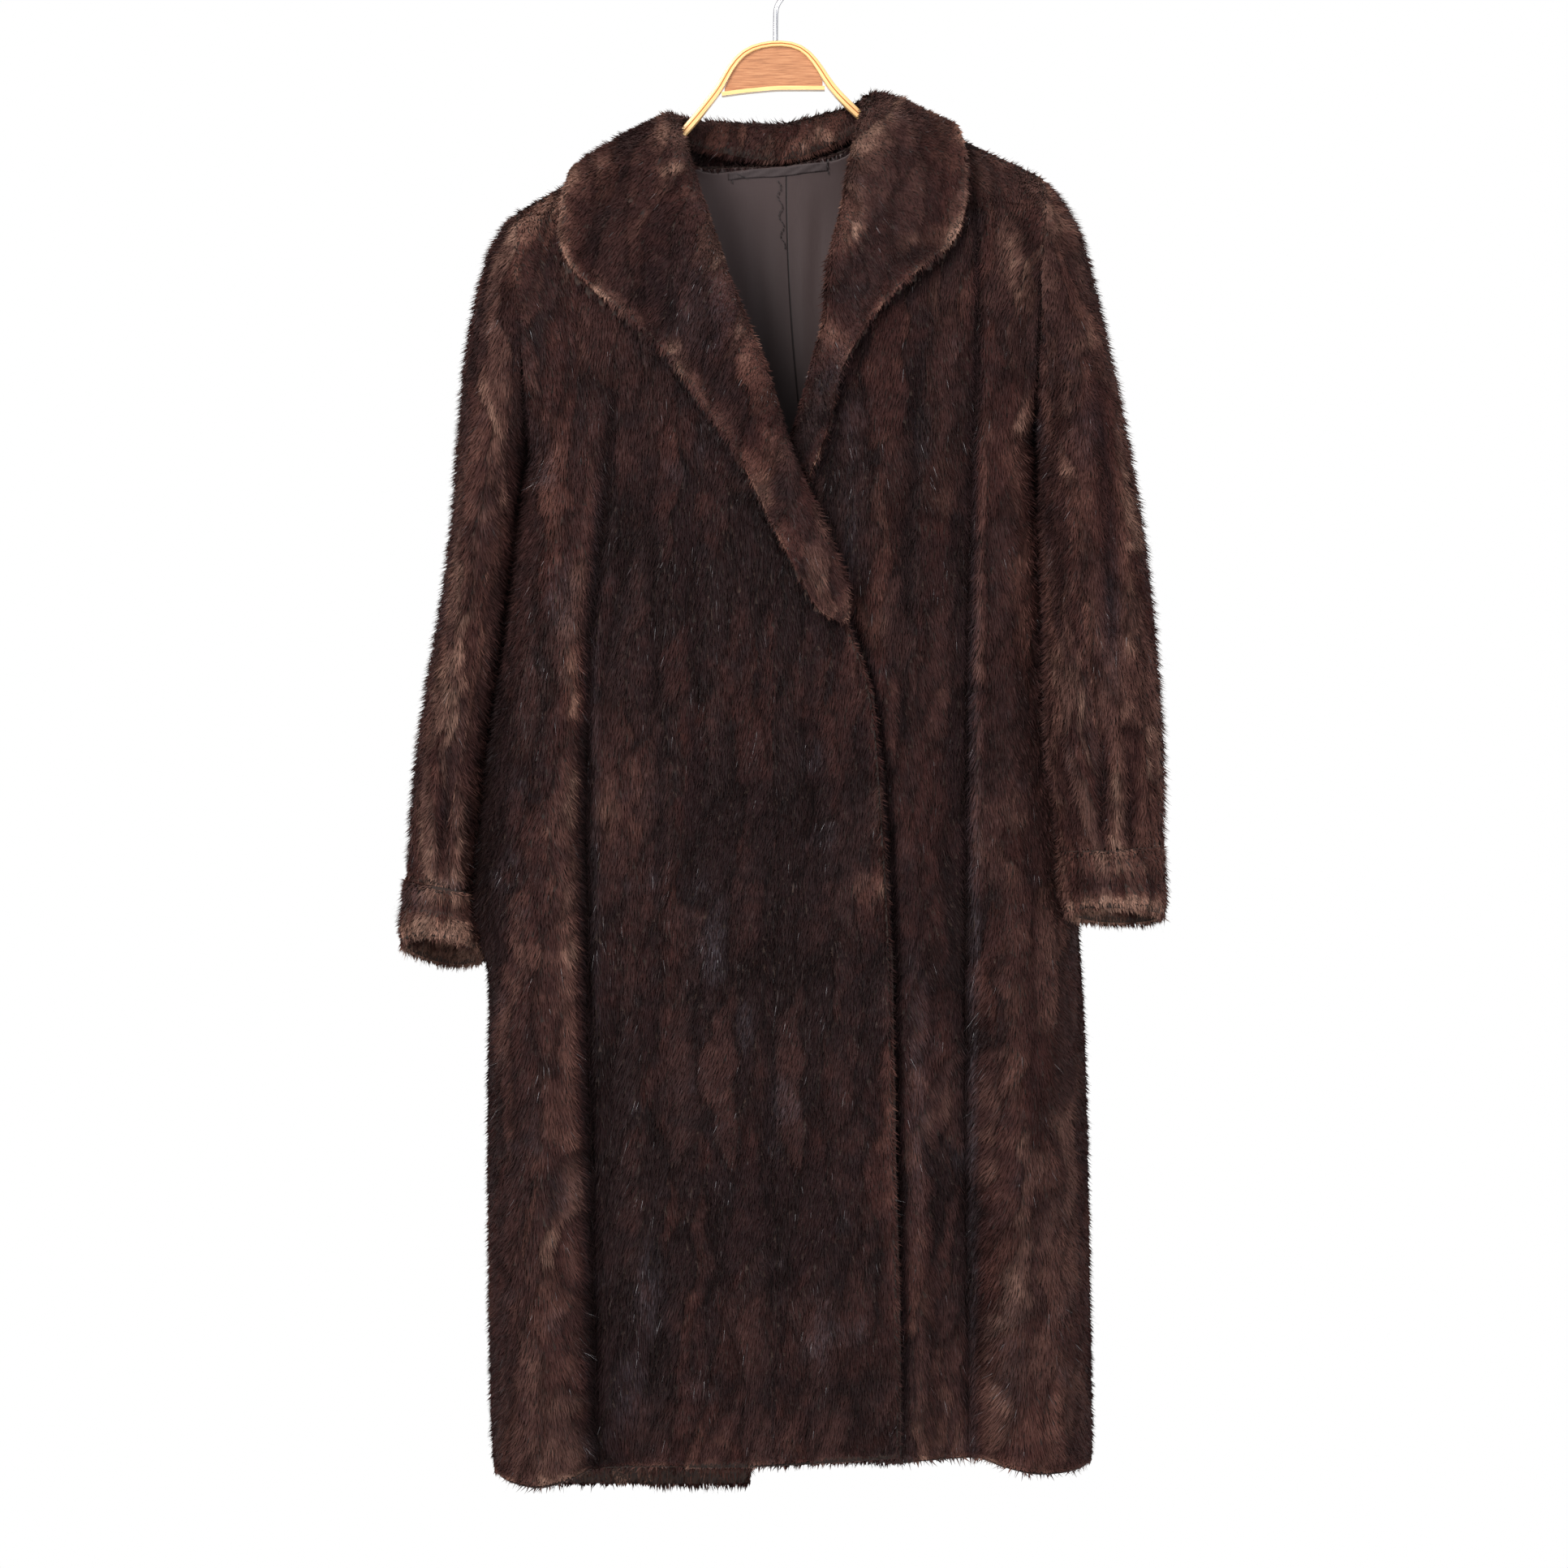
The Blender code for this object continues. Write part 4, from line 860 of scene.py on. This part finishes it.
def fur_tree():
    """Hairs set all over the haired faces, laid along the nap, and turned flat to the skin."""
    nodes = Growth(
        "Fur", Pelt="Geometry", Shape="Object", Finish="Material", Seed="Int", Hairs="Float",
        Long="Float", Wide="Float", Lift="Float", Locks="Float", Clumps="Float", Tone_and_light="Float",
        Span="Float",
    )
    take, scaled = nodes.take, nodes.scaled

    def stored(name, kind="FLOAT"):
        settings = {"data_type": kind}
        return nodes.add("GeometryNodeInputNamedAttribute", settings, {"Name": name}, "Attribute")

    def store(geometry, name, kind, value, domain="POINT"):
        settings = {"data_type": kind, "domain": domain}
        sockets = {"Geometry": geometry, "Name": name, "Value": value}
        return nodes.add("GeometryNodeStoreNamedAttribute", settings, sockets)

    def noise(vector, scale, detail=2.0, output=0):
        sockets = {"Vector": vector, "Scale": scale, "Detail": detail}
        return nodes.add("ShaderNodeTexNoise", {}, sockets, output)

    def rough(vector, scale):
        return noise(vector, scale, 1.0, "Color") - 0.5

    def chance(low, high, seed):
        sockets = {"Min": low, "Max": high, "Seed": seed}
        return nodes.add("FunctionNodeRandomValue", {"data_type": "FLOAT"}, sockets)

    def joined(**axes):
        return nodes.add("ShaderNodeCombineXYZ", sockets=axes)

    place = nodes.add("GeometryNodeInputPosition")
    clump = nodes.between(noise(place, 30.0), 0.5, 0.66)
    # Painted glints: clusters at random places where hairs are marked to shine.
    glint = nodes.between(noise(place, 24.0), 0.63, 0.76, 0.0, 0.7)
    crowd = take["Hairs"] * stored("fur") * (2.4 - 1.4 * stored("tall"))
    crowd = crowd * (clump * take["Clumps"] * 3.0 + (1.0 - take["Clumps"]))
    sockets = {"Mesh": take["Pelt"], "Density": crowd, "Seed": take["Seed"]}
    scatter = nodes.add("GeometryNodeDistributePointsOnFaces", {}, sockets, "Points")
    normal = nodes.other(scatter, "Normal")
    nap, skins = stored("nap", "FLOAT_VECTOR"), stored("skins", "FLOAT_VECTOR")
    nap = nap - scaled(normal, nodes.vector("DOT_PRODUCT", nap, normal))
    nap = nodes.vector("NORMALIZE", nap)

    # The skins: cells of a wavering pattern, each with its own tone, hue and swing of the hair.
    cells = skins
    for scale, far in ((9.0, 0.045), (26.0, 0.030), (70.0, 0.008)):
        cells = cells + scaled(rough(skins, scale), far)
    cells = nodes.vector("MULTIPLY", cells, (1 / SKIN_WIDE, 1 / SKIN_LONG, 1.0))
    cells = cells + joined(Y=nodes.part(cells, "X") * 0.618)
    sockets = {"Vector": cells, "Scale": 1.0, "Randomness": 0.75}
    skin = nodes.add("ShaderNodeTexVoronoi", {}, sockets, "Color")
    join = nodes.add("ShaderNodeTexVoronoi", {"feature": "DISTANCE_TO_EDGE"}, sockets, "Distance")
    own_tone, hue, swing = (nodes.part(skin, axis) for axis in "XYZ")
    sideways = nodes.vector("CROSS_PRODUCT", normal, nap)

    # The lie of the hair: along the nap, raised a little, and a few hairs nearly upright.
    high = chance(0.0, 1.0, 11)
    upright = high * high * high
    upright = upright * upright
    laid = nap + scaled(normal, take["Lift"] * (0.45 + 0.4 * high + 4.5 * upright))
    laid = laid + scaled(sideways, (swing - 0.5) * 0.45)
    laid = laid + scaled(rough(place, 150.0), take["Locks"])
    laid = laid + scaled(rough(place, 34.0), take["Locks"] * 1.2)
    laid = nodes.vector("NORMALIZE", laid)
    turn = nodes.aligned({"Vector": laid}, axis="Z")
    spin = normal + scaled(sideways, chance(-1.0, 1.0, 15) * (0.3 + 4.0 * upright))
    turn = nodes.aligned({"Rotation": turn, "Vector": spin}, axis="Y", pivot_axis="Z")

    # What each hair carries for its finish, and the way it faces the light.
    broad, cloud = noise(skins, 9.0), noise(skins, 60.0)
    tone = own_tone * 0.42 + (broad - 0.5) * 0.9 + (cloud - 0.5) * 0.9
    # Each hair's tone also takes the pelt's painted light and shade, and the panel's own amount.
    tone = tone + stored("light") + take["Tone_and_light"]
    carried = {"tone": tone, "join": join, "glint": glint, "hue": hue}
    carried["strand"] = chance(0.0, 1.0, 12)
    geometry = scatter
    for name, value in carried.items():
        geometry = store(geometry, name, "FLOAT", value)
    tilt = scaled(rough(place, 220.0), 0.32) + scaled(rough(place, 60.0), 0.7)
    tilt = tilt + scaled(skin - 0.5, 0.2)
    geometry = store(geometry, "outward", "FLOAT_VECTOR", nodes.vector("NORMALIZE", normal + tilt))

    wide = take["Wide"] * chance(0.75, 1.25, 13) * (1.5 - 0.5 * stored("tall"))
    wide = wide * (1.05 - 0.6 * upright)
    tall = take["Long"] * chance(0.7, 1.25, 14) * stored("tall")
    fur = nodes.set_out(geometry, Rotation=turn, Scale=joined(X=wide, Y=1.0, Z=tall))
    flat = joined(X=stored("side") * take["Wide"], Y=stored("along") * take["Long"])
    flat = scaled(flat + stored("skins", "FLOAT_VECTOR"), take["Span"]) + 0.01
    fur = store(fur, "OFBake", "FLOAT2", flat, "CORNER")
    sockets = {"Mesh": fur, "Custom Normal": stored("outward", "FLOAT_VECTOR")}
    return nodes.end(nodes.add("GeometryNodeSetMeshNormal", {"mode": "FREE"}, sockets))


BEHIND_LOWER = 35.0  # in mm


def dress(hairs, arm):
    """Make the hairs of the listed skins lighter or darker, with painted light and shade among them,
    and paint a glint at the listed places.

    The back has the same ovals, left for right and a little lower.
    """
    roots = np.repeat(points_of(hairs.data)[::3], 3, axis=0)
    facing = vectors_of(hairs.data.attributes["outward"].data, "vector")[:, 1]
    front = facing < 0.2
    turned = np.clip(0.5 + 1.4 * (np.abs(facing) - 0.15), 0.4, 1.0)
    x = np.where(front, roots[:, 0], -roots[:, 0]) / MM
    z = roots[:, 2] / MM + np.where(front, 0.0, BEHIND_LOWER)
    for name, table in (("tone", SKIN_TONES_AND_PAINTED_LIGHT), ("glint", PAINTED_GLINTS)):
        own = [r for r in table if max(r[2:4]) >= LARGE_OVAL or (abs(r[0]) > BODY_HALF) == arm]
        field = np.zeros(len(roots), np.float32)
        values = hairs.data.attributes[name].data
        values.foreach_get("value", field)
        values.foreach_set("value", field + (spread(own, x, z) * turned).astype(np.float32))


leather = Finish("mink_leather", Roughness=0.9)
nub = leather.noise(leather.place(), (900.0, 900.0, 160.0), 3.0)
leather_tones = [(0.35, (0.010, 0.005, 0.004)), (0.7, (0.045, 0.022, 0.014))]
leather.feed("Base Color", leather.ramp(nub, leather_tones))
mink = Finish(
    "brown_mink", Roughness=0.5, Sheen_Weight=0.18, Sheen_Roughness=0.5,
    Sheen_Tint=(0.50, 0.29, 0.26, 1.0), Specular_IOR_Level=0.04,
)
along, strand, tone = (mink.attribute(name) for name in ("along", "strand", "tone"))
red_tone = mink.ramp(tone, [
    (0.00, (0.0165, 0.0078, 0.0082)), (0.40, (0.0400, 0.0150, 0.0130)),
    (0.75, (0.0940, 0.0400, 0.0310)), (1.00, (0.2250, 0.1180, 0.0860)),
])
olive_tone = mink.ramp(tone, [
    (0.00, (0.0165, 0.0090, 0.0092)), (0.40, (0.0425, 0.0196, 0.0176)),
    (0.75, (0.0960, 0.0490, 0.0385)), (1.00, (0.2350, 0.1370, 0.1020)),
])
hair_tone = mink.mix(mink.attribute("hue"), red_tone, olive_tone)
# Painted highlight: where a glint lies, some hairs are mixed toward a bluish grey.
painted_shine = mink.attribute("glint") * strand * 0.32
hair_tone = mink.mix(painted_shine, hair_tone, (0.100, 0.090, 0.104, 1.0))
on_hair = {"X": mink.attribute("side"), "Y": along, "Z": strand}
on_hair = mink.add("ShaderNodeCombineXYZ", sockets=on_hair)
streak = mink.noise(on_hair, (8.0, 1.2, 91.0), 2.0, 0.6)
strength = (0.90 + 0.2 * strand) * (0.84 + 0.26 * along)
strength = strength * mink.between(mink.attribute("join"), 0.01, 0.12, 0.48, 1.0)
# Where the tone falls below zero, as in painted crease shade, the hair is darkened further.
strength = strength * mink.between(tone, -0.6, 0.0, 0.35, 1.0) * (0.79 + 0.56 * streak)
mink.feed("Base Color", mink.mix(strength, (0.0, 0.0, 0.0, 1.0), hair_tone))
fur_maker = fur_tree()

guard = Finish("guard_hair", Roughness=0.4, Specular_IOR_Level=0.2)
# A few guard hairs are pale grey, and more of them where a painted glint lies.
guard_tone = guard.ramp(guard.attribute("strand") + 0.25 * guard.attribute("glint"), [
    (0.00, (0.020, 0.010, 0.009)), (0.91, (0.060, 0.032, 0.025)),
    (0.945, (0.150, 0.130, 0.135)), (1.00, (0.380, 0.360, 0.370)),
])
guard.feed("Base Color", guard_tone)
GUARD_HAIRS, GUARD_LONGER, GUARD_WIDE = 26000.0, 4.0 * MM, 0.20 * MM


def fur_panel(
    node, name, mesh, hairs, span, seed, tone_and_light, long=8.5, locks=0.5, wide=1.5
):
    """One panel: the pelt and its hair, put in place of the solid that they stand for, which is
    hidden.

    Hairs are counted to the square metre, and long and wide are a hair's size in mm.
    """
    pelt = new_object(name, mesh, leather.material, satin.material)
    # Every hair of the panel is lighter or darker by the panel's own amount: partly its skins' tone,
    # partly painted light.
    same = {"Shape": blade, "Span": span, "Tone_and_light": tone_and_light}
    wool = grow(
        pelt, fur_maker, name + "_wool", Hairs=float(hairs), Long=long * MM, Wide=wide * MM, Lift=0.4,
        Locks=locks, Clumps=0.0, Seed=seed, Finish=mink.material, **same,
    )
    longer = grow(
        pelt, fur_maker, name + "_guard", Hairs=GUARD_HAIRS, Long=long * MM + GUARD_LONGER,
        Wide=GUARD_WIDE, Lift=0.6, Locks=0.7, Clumps=0.85, Seed=seed + 100,
        Finish=guard.material, **same,
    )
    arm = node.startswith(("sleeve", "cuff"))
    for hair in (wool, longer):
        dress(hair, arm)
    for piece in (pelt, wool, longer):
        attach(piece, "root")
        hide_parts(node)
    return pelt


def straight_down(points):
    return np.tile([0.0, 0.0, -1.0], (len(points), 1))


def body_place(points, normals):
    """Where a point lies on the panel laid flat: across, and down from the hook."""
    side = np.sign(points[:, 0]) * (points[:, 1] * 0.5)
    return np.stack([points[:, 0] + side + 0.34, -points[:, 2] - 0.10, 0 * side], axis=1)


def round_body(points):
    return points - inside_body(points)


back_cut = {"back_right": (0.27, 1.12), "back_left": (0.28, 1.10)}
for seed, (node, cut) in enumerate(back_cut.items(), 21):
    mesh = pelt_of(node, round_body, straight_down, body_place, turned_in=-1.235)
    fur_panel(node, node + "_panel", mesh, 245000, 0.8, seed, 0.08, locks=0.35, wide=1.95)

# Fronts
# Two panels of the same small skins, each turned back at its edge and faced with fur. The
# wearer's right front laps over the left one. They close with hooks hidden in the fur.

# The long crease of each front, in millimetres as seen from the front. The fur rises on its
# outer side and sinks softly on its inner one.
CREASE_RIGHT = [(-141, -479), (-152, -579), (-156, -713), (-153, -914), (-149, -1115), (-146, -1280)]
CREASE_LEFT = [
    (164, -345), (160, -470), (158, -600), (156, -713), (156, -900), (158, -1080), (160, -1270),
]


def beside(course, far):
    return [(x + far, z) for x, z in course]


front_cut = {"front_right": (0.36, 1.10), "front_left": (0.34, 1.10)}
front_folds = {
    "front_right": [
        (6, -8, [(-128, -365)] + CREASE_RIGHT),
        (8, 4, [(-140, -365)] + beside(CREASE_RIGHT, -13)),
        (14, -3, [(-112, -380)] + beside(CREASE_RIGHT, 18)),
        (7, -3, [(-100, -420), (-96, -560), (-92, -700), (-95, -820)]),
        (8, -3, [(-66, -480), (-62, -640), (-68, -800), (-60, -960)]),
        (7, -3, [(-8, -690), (0, -840), (-4, -1000), (2, -1130), (-2, -1240)]),
        (8, -3, [(30, -600), (36, -700), (34, -790)]),
        (8, -3, [(-96, -860), (-100, -1000), (-94, -1100), (-98, -1240)]),
        (7, -2, [(-50, -1010), (-54, -1100), (-48, -1200)]),
        (8, -3, [(-190, -420), (-188, -540), (-194, -700), (-190, -820)]),
        (9, -2, [(-196, -860), (-200, -1000), (-194, -1200)]),
    ],
    "front_left": [
        (5, -5, [(216, -262), (217, -310), (214, -390)]),
        (4, -7, [(160, -180), (165, -250)] + CREASE_LEFT),
        (5, 3, [(172, -345)] + beside(CREASE_LEFT[1:], 8)),
        (12, -2, beside(CREASE_LEFT, -14)),
        (7, -4, [(118, -330), (112, -440), (106, -560), (104, -690)]),
        (8, 2, [(140, -340), (137, -480), (136, -640), (134, -800), (134, -1000)]),
        (7, -3, [(128, -820), (132, -960), (128, -1100), (130, -1240)]),
        (9, -2, [(205, -620), (210, -800), (208, -980), (212, -1180)]),
    ],
}

# The right front's edge, from its solid: the left front sinks beside it and the edge stands up.
right_front = points_of(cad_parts["front_right"].data) / MM
lap = []
for z in range(-440, -1261, -60):
    level = right_front[np.abs(right_front[:, 2] - z) < 40]
    lap.append((level[:, 0].max(), z))
front_folds["front_left"].append((4, -6, beside(lap, 2)))
front_folds["front_right"].append((5, 2.5, beside(lap, -6)))
for seed, (node, cut) in enumerate(front_cut.items(), 31):
    mesh = pelt_of(node, round_body, straight_down, body_place, levels=2, folds=front_folds[node])
    # The panels' own amounts are partly skin tone and partly painted light.
    tone_and_light = 0.0 if node == "front_right" else 0.09
    fur_panel(node, node + "_panel", mesh, 450000, 0.8, seed, tone_and_light, locks=0.32)

# Sleeves
# One long piece of skins each, let into the armhole, that hangs against the body. It is gathered
# a little above the cuff.

# The middle line of each arm, down to the wrist, in metres.
ARMS = {
    "right": ((-0.205, 0.000, -0.310), (-0.275, 0.000, -0.790)),
    "left": ((0.216, 0.000, -0.297), (0.272, -0.057, -0.755)),
}


def arm_of(side):
    """How far out, which way down and whereabouts on the cut each point of a sleeve is."""
    top, end = (np.array(p) for p in ARMS[side])
    reach = np.linalg.norm(end - top)
    way = (end - top) / reach
    across = unit(np.cross(way, [0.0, 1.0, 0.0]))
    front = np.cross(way, across)

    def outward(points):
        share = np.clip((points - top) @ way, 0.0, 1.2 * reach)
        return points - top - share[:, None] * way

    def lay(points):
        return np.tile(way, (len(points), 1))

    def flat_place(points, normals):
        away = points - top
        turn = np.arctan2(away @ across, -(away @ front))
        return np.stack([0.30 + 0.07 * turn, away @ way + 0.15, 0 * turn], axis=1)

    return outward, lay, flat_place


# The gathers above the cuff, a crease and a ridge down each arm, and the groove over the cuff.
sleeve_folds = {
    "sleeve_right": [
        (5, 2, [(-300, -640), (-304, -700), (-302, -758)]),
        (4, -2.5, [(-292, -664), (-294, -712), (-296, -760)]),
        (5, 2, [(-282, -650), (-284, -704), (-283, -762)]),
        (4, -2.5, [(-270, -690), (-272, -730), (-270, -764)]),
        (5, 2, [(-256, -676), (-258, -720), (-258, -766)]),
        (7, -4, [(-262, -380), (-270, -470), (-274, -580)]),
        (8, 3, [(-244, -400), (-254, -500), (-262, -620)]),
        (5, -2.5, [(-312, -764), (-280, -768), (-246, -776)]),
    ],
    "sleeve_left": [
        (4, -4, [(262, -640), (264, -690), (262, -742)]),
        (5, 3, [(272, -630), (275, -690), (273, -744)]),
        (4, -4, [(284, -660), (286, -700), (285, -742)]),
        (5, 3, [(295, -640), (298, -690), (296, -740)]),
        (4, -3, [(306, -650), (308, -700), (306, -738)]),
        (7, -4, [(258, -350), (268, -460), (272, -580)]),
        (8, 3, [(276, -370), (284, -470), (290, -600)]),
        (5, -2, [(246, -750), (284, -748), (318, -744)]),
    ],
}
sleeve_cut = {"sleeve_right": (0.22, 0.54), "sleeve_left": (0.23, 0.54)}
for seed, (node, cut) in enumerate(sleeve_cut.items(), 41):
    mesh = pelt_of(node, *arm_of(node.split("_")[1]), levels=2, folds=sleeve_folds[node])
    fur_panel(
        node, node + "_panel", mesh, 570000, 1.2, seed, 0.22, locks=0.35
    )

# Cuffs
# A straight band of fur sewn to the end of each sleeve. Its hair runs along the arm, and goes
# round its open edge to the inside.

cuff_cut = {"cuff_right": (0.19, 0.07), "cuff_left": (0.20, 0.07)}
cuff_folds = {
    "cuff_right": [
        (6, 3, [(-320, -777), (-280, -779), (-240, -784)]),
        (4, -2.5, [(-320, -790), (-284, -789), (-244, -797)]),
        (8, 4, [(-316, -805), (-280, -808), (-240, -814)]),
    ],
    "cuff_left": [
        (5, 2, [(240, -757), (284, -756), (326, -752)]),
        (4, -1.5, [(240, -770), (270, -768), (300, -771), (326, -766)]),
        (7, 4, [(240, -784), (284, -786), (326, -781)]),
    ],
}
for seed, (node, cut) in enumerate(cuff_cut.items(), 51):
    side = node.split("_")[1]
    mesh = pelt_of(node, *arm_of(side), both=True, folds=cuff_folds[node])
    fur_panel(node, node + "_band", mesh, 480000, 1.2, seed, 0.16, 7.5, 0.8)

# Collar
# A wide collar cut in two halves, haired on both sides, that rolls at the neck and lies open on
# the fronts. Its hair runs from the roll out to the edge.


def from_roll(points):
    side = np.where(points[:, 0] < 0.01, -1.0, 1.0)
    return unit(np.stack([0.45 * side, 0 * side, 0 * side - 1.0], axis=1))


def collar_place(points, normals):
    back = np.where(normals[:, 1] > 0.1, 0.42, 0.0)
    return np.stack([points[:, 0] + 0.20 + back, -points[:, 2], 0 * back], axis=1)


mesh = pelt_of("collar", None, from_roll, collar_place, both=True)
fur_panel(
    "collar", "collar_of_fur", mesh, 540000, 1.1, 61, 0.04, 8.0
)

# Floor, light and camera
# A plain pale studio: white behind and greyer in front, with a wide soft light from the upper
# left and a weaker one from the right. The floor lies far below.

FAR_OFF, VIEW_WIDE = 3.2, 1.2944
floor_finish = Finish("pale_floor", Roughness=0.8, Base_Color=(0.80, 0.80, 0.79, 1.0))
slab = bmesh.new()
bmesh.ops.create_grid(slab, x_segments=1, y_segments=1, size=1.6)
floor = new_object("floor", mesh_from(slab, "floor"), floor_finish.material)
floor.location = (0.0, 0.4, -1.75)


def soft_light(name, place, aim, size, watts, colour):
    lamp = bpy.data.lights.new(name, "AREA")
    lamp.size = size
    lamp.energy = watts
    lamp.color = colour
    made = bpy.data.objects.new(name, lamp)
    made.location = place
    made.rotation_euler = (Vector(aim) - Vector(place)).to_track_quat("-Z", "Y").to_euler()
    bpy.context.scene.collection.objects.link(made)


soft_light("window", (-1.7, -2.5, 0.9), (0.0, 0.0, -0.6), 1.6, 145.0, (1.0, 0.98, 0.97))
soft_light("fill", (2.2, -2.4, -0.7), (0.0, 0.0, -0.8), 2.0, 66.0, (0.95, 0.97, 1.0))

world = bpy.data.worlds.new("studio")
world.use_nodes = True
studio = Nodes(world.node_tree)
way = studio.add("ShaderNodeTexCoord", output="Generated")
white = studio.between(studio.part(way, "Y"), -0.2, 0.7)
wall = studio.mix(white, (0.48, 0.48, 0.50, 1.0), (1.0, 1.0, 1.0, 1.0))
world.node_tree.links.new(wall.socket, world.node_tree.nodes["Background"].inputs["Color"])
scene = bpy.context.scene
scene.world = world
scene.view_settings.view_transform = "Standard"

camera_data = bpy.data.cameras.new("camera")
camera_data.sensor_width = 36.0
camera_data.lens = camera_data.sensor_width * FAR_OFF / VIEW_WIDE
camera = bpy.data.objects.new("camera", camera_data)
camera.location = (0.0074, -FAR_OFF, -0.690)
camera.rotation_euler = (math.radians(90), 0.0, 0.0)
scene.collection.objects.link(camera)
scene.camera = camera
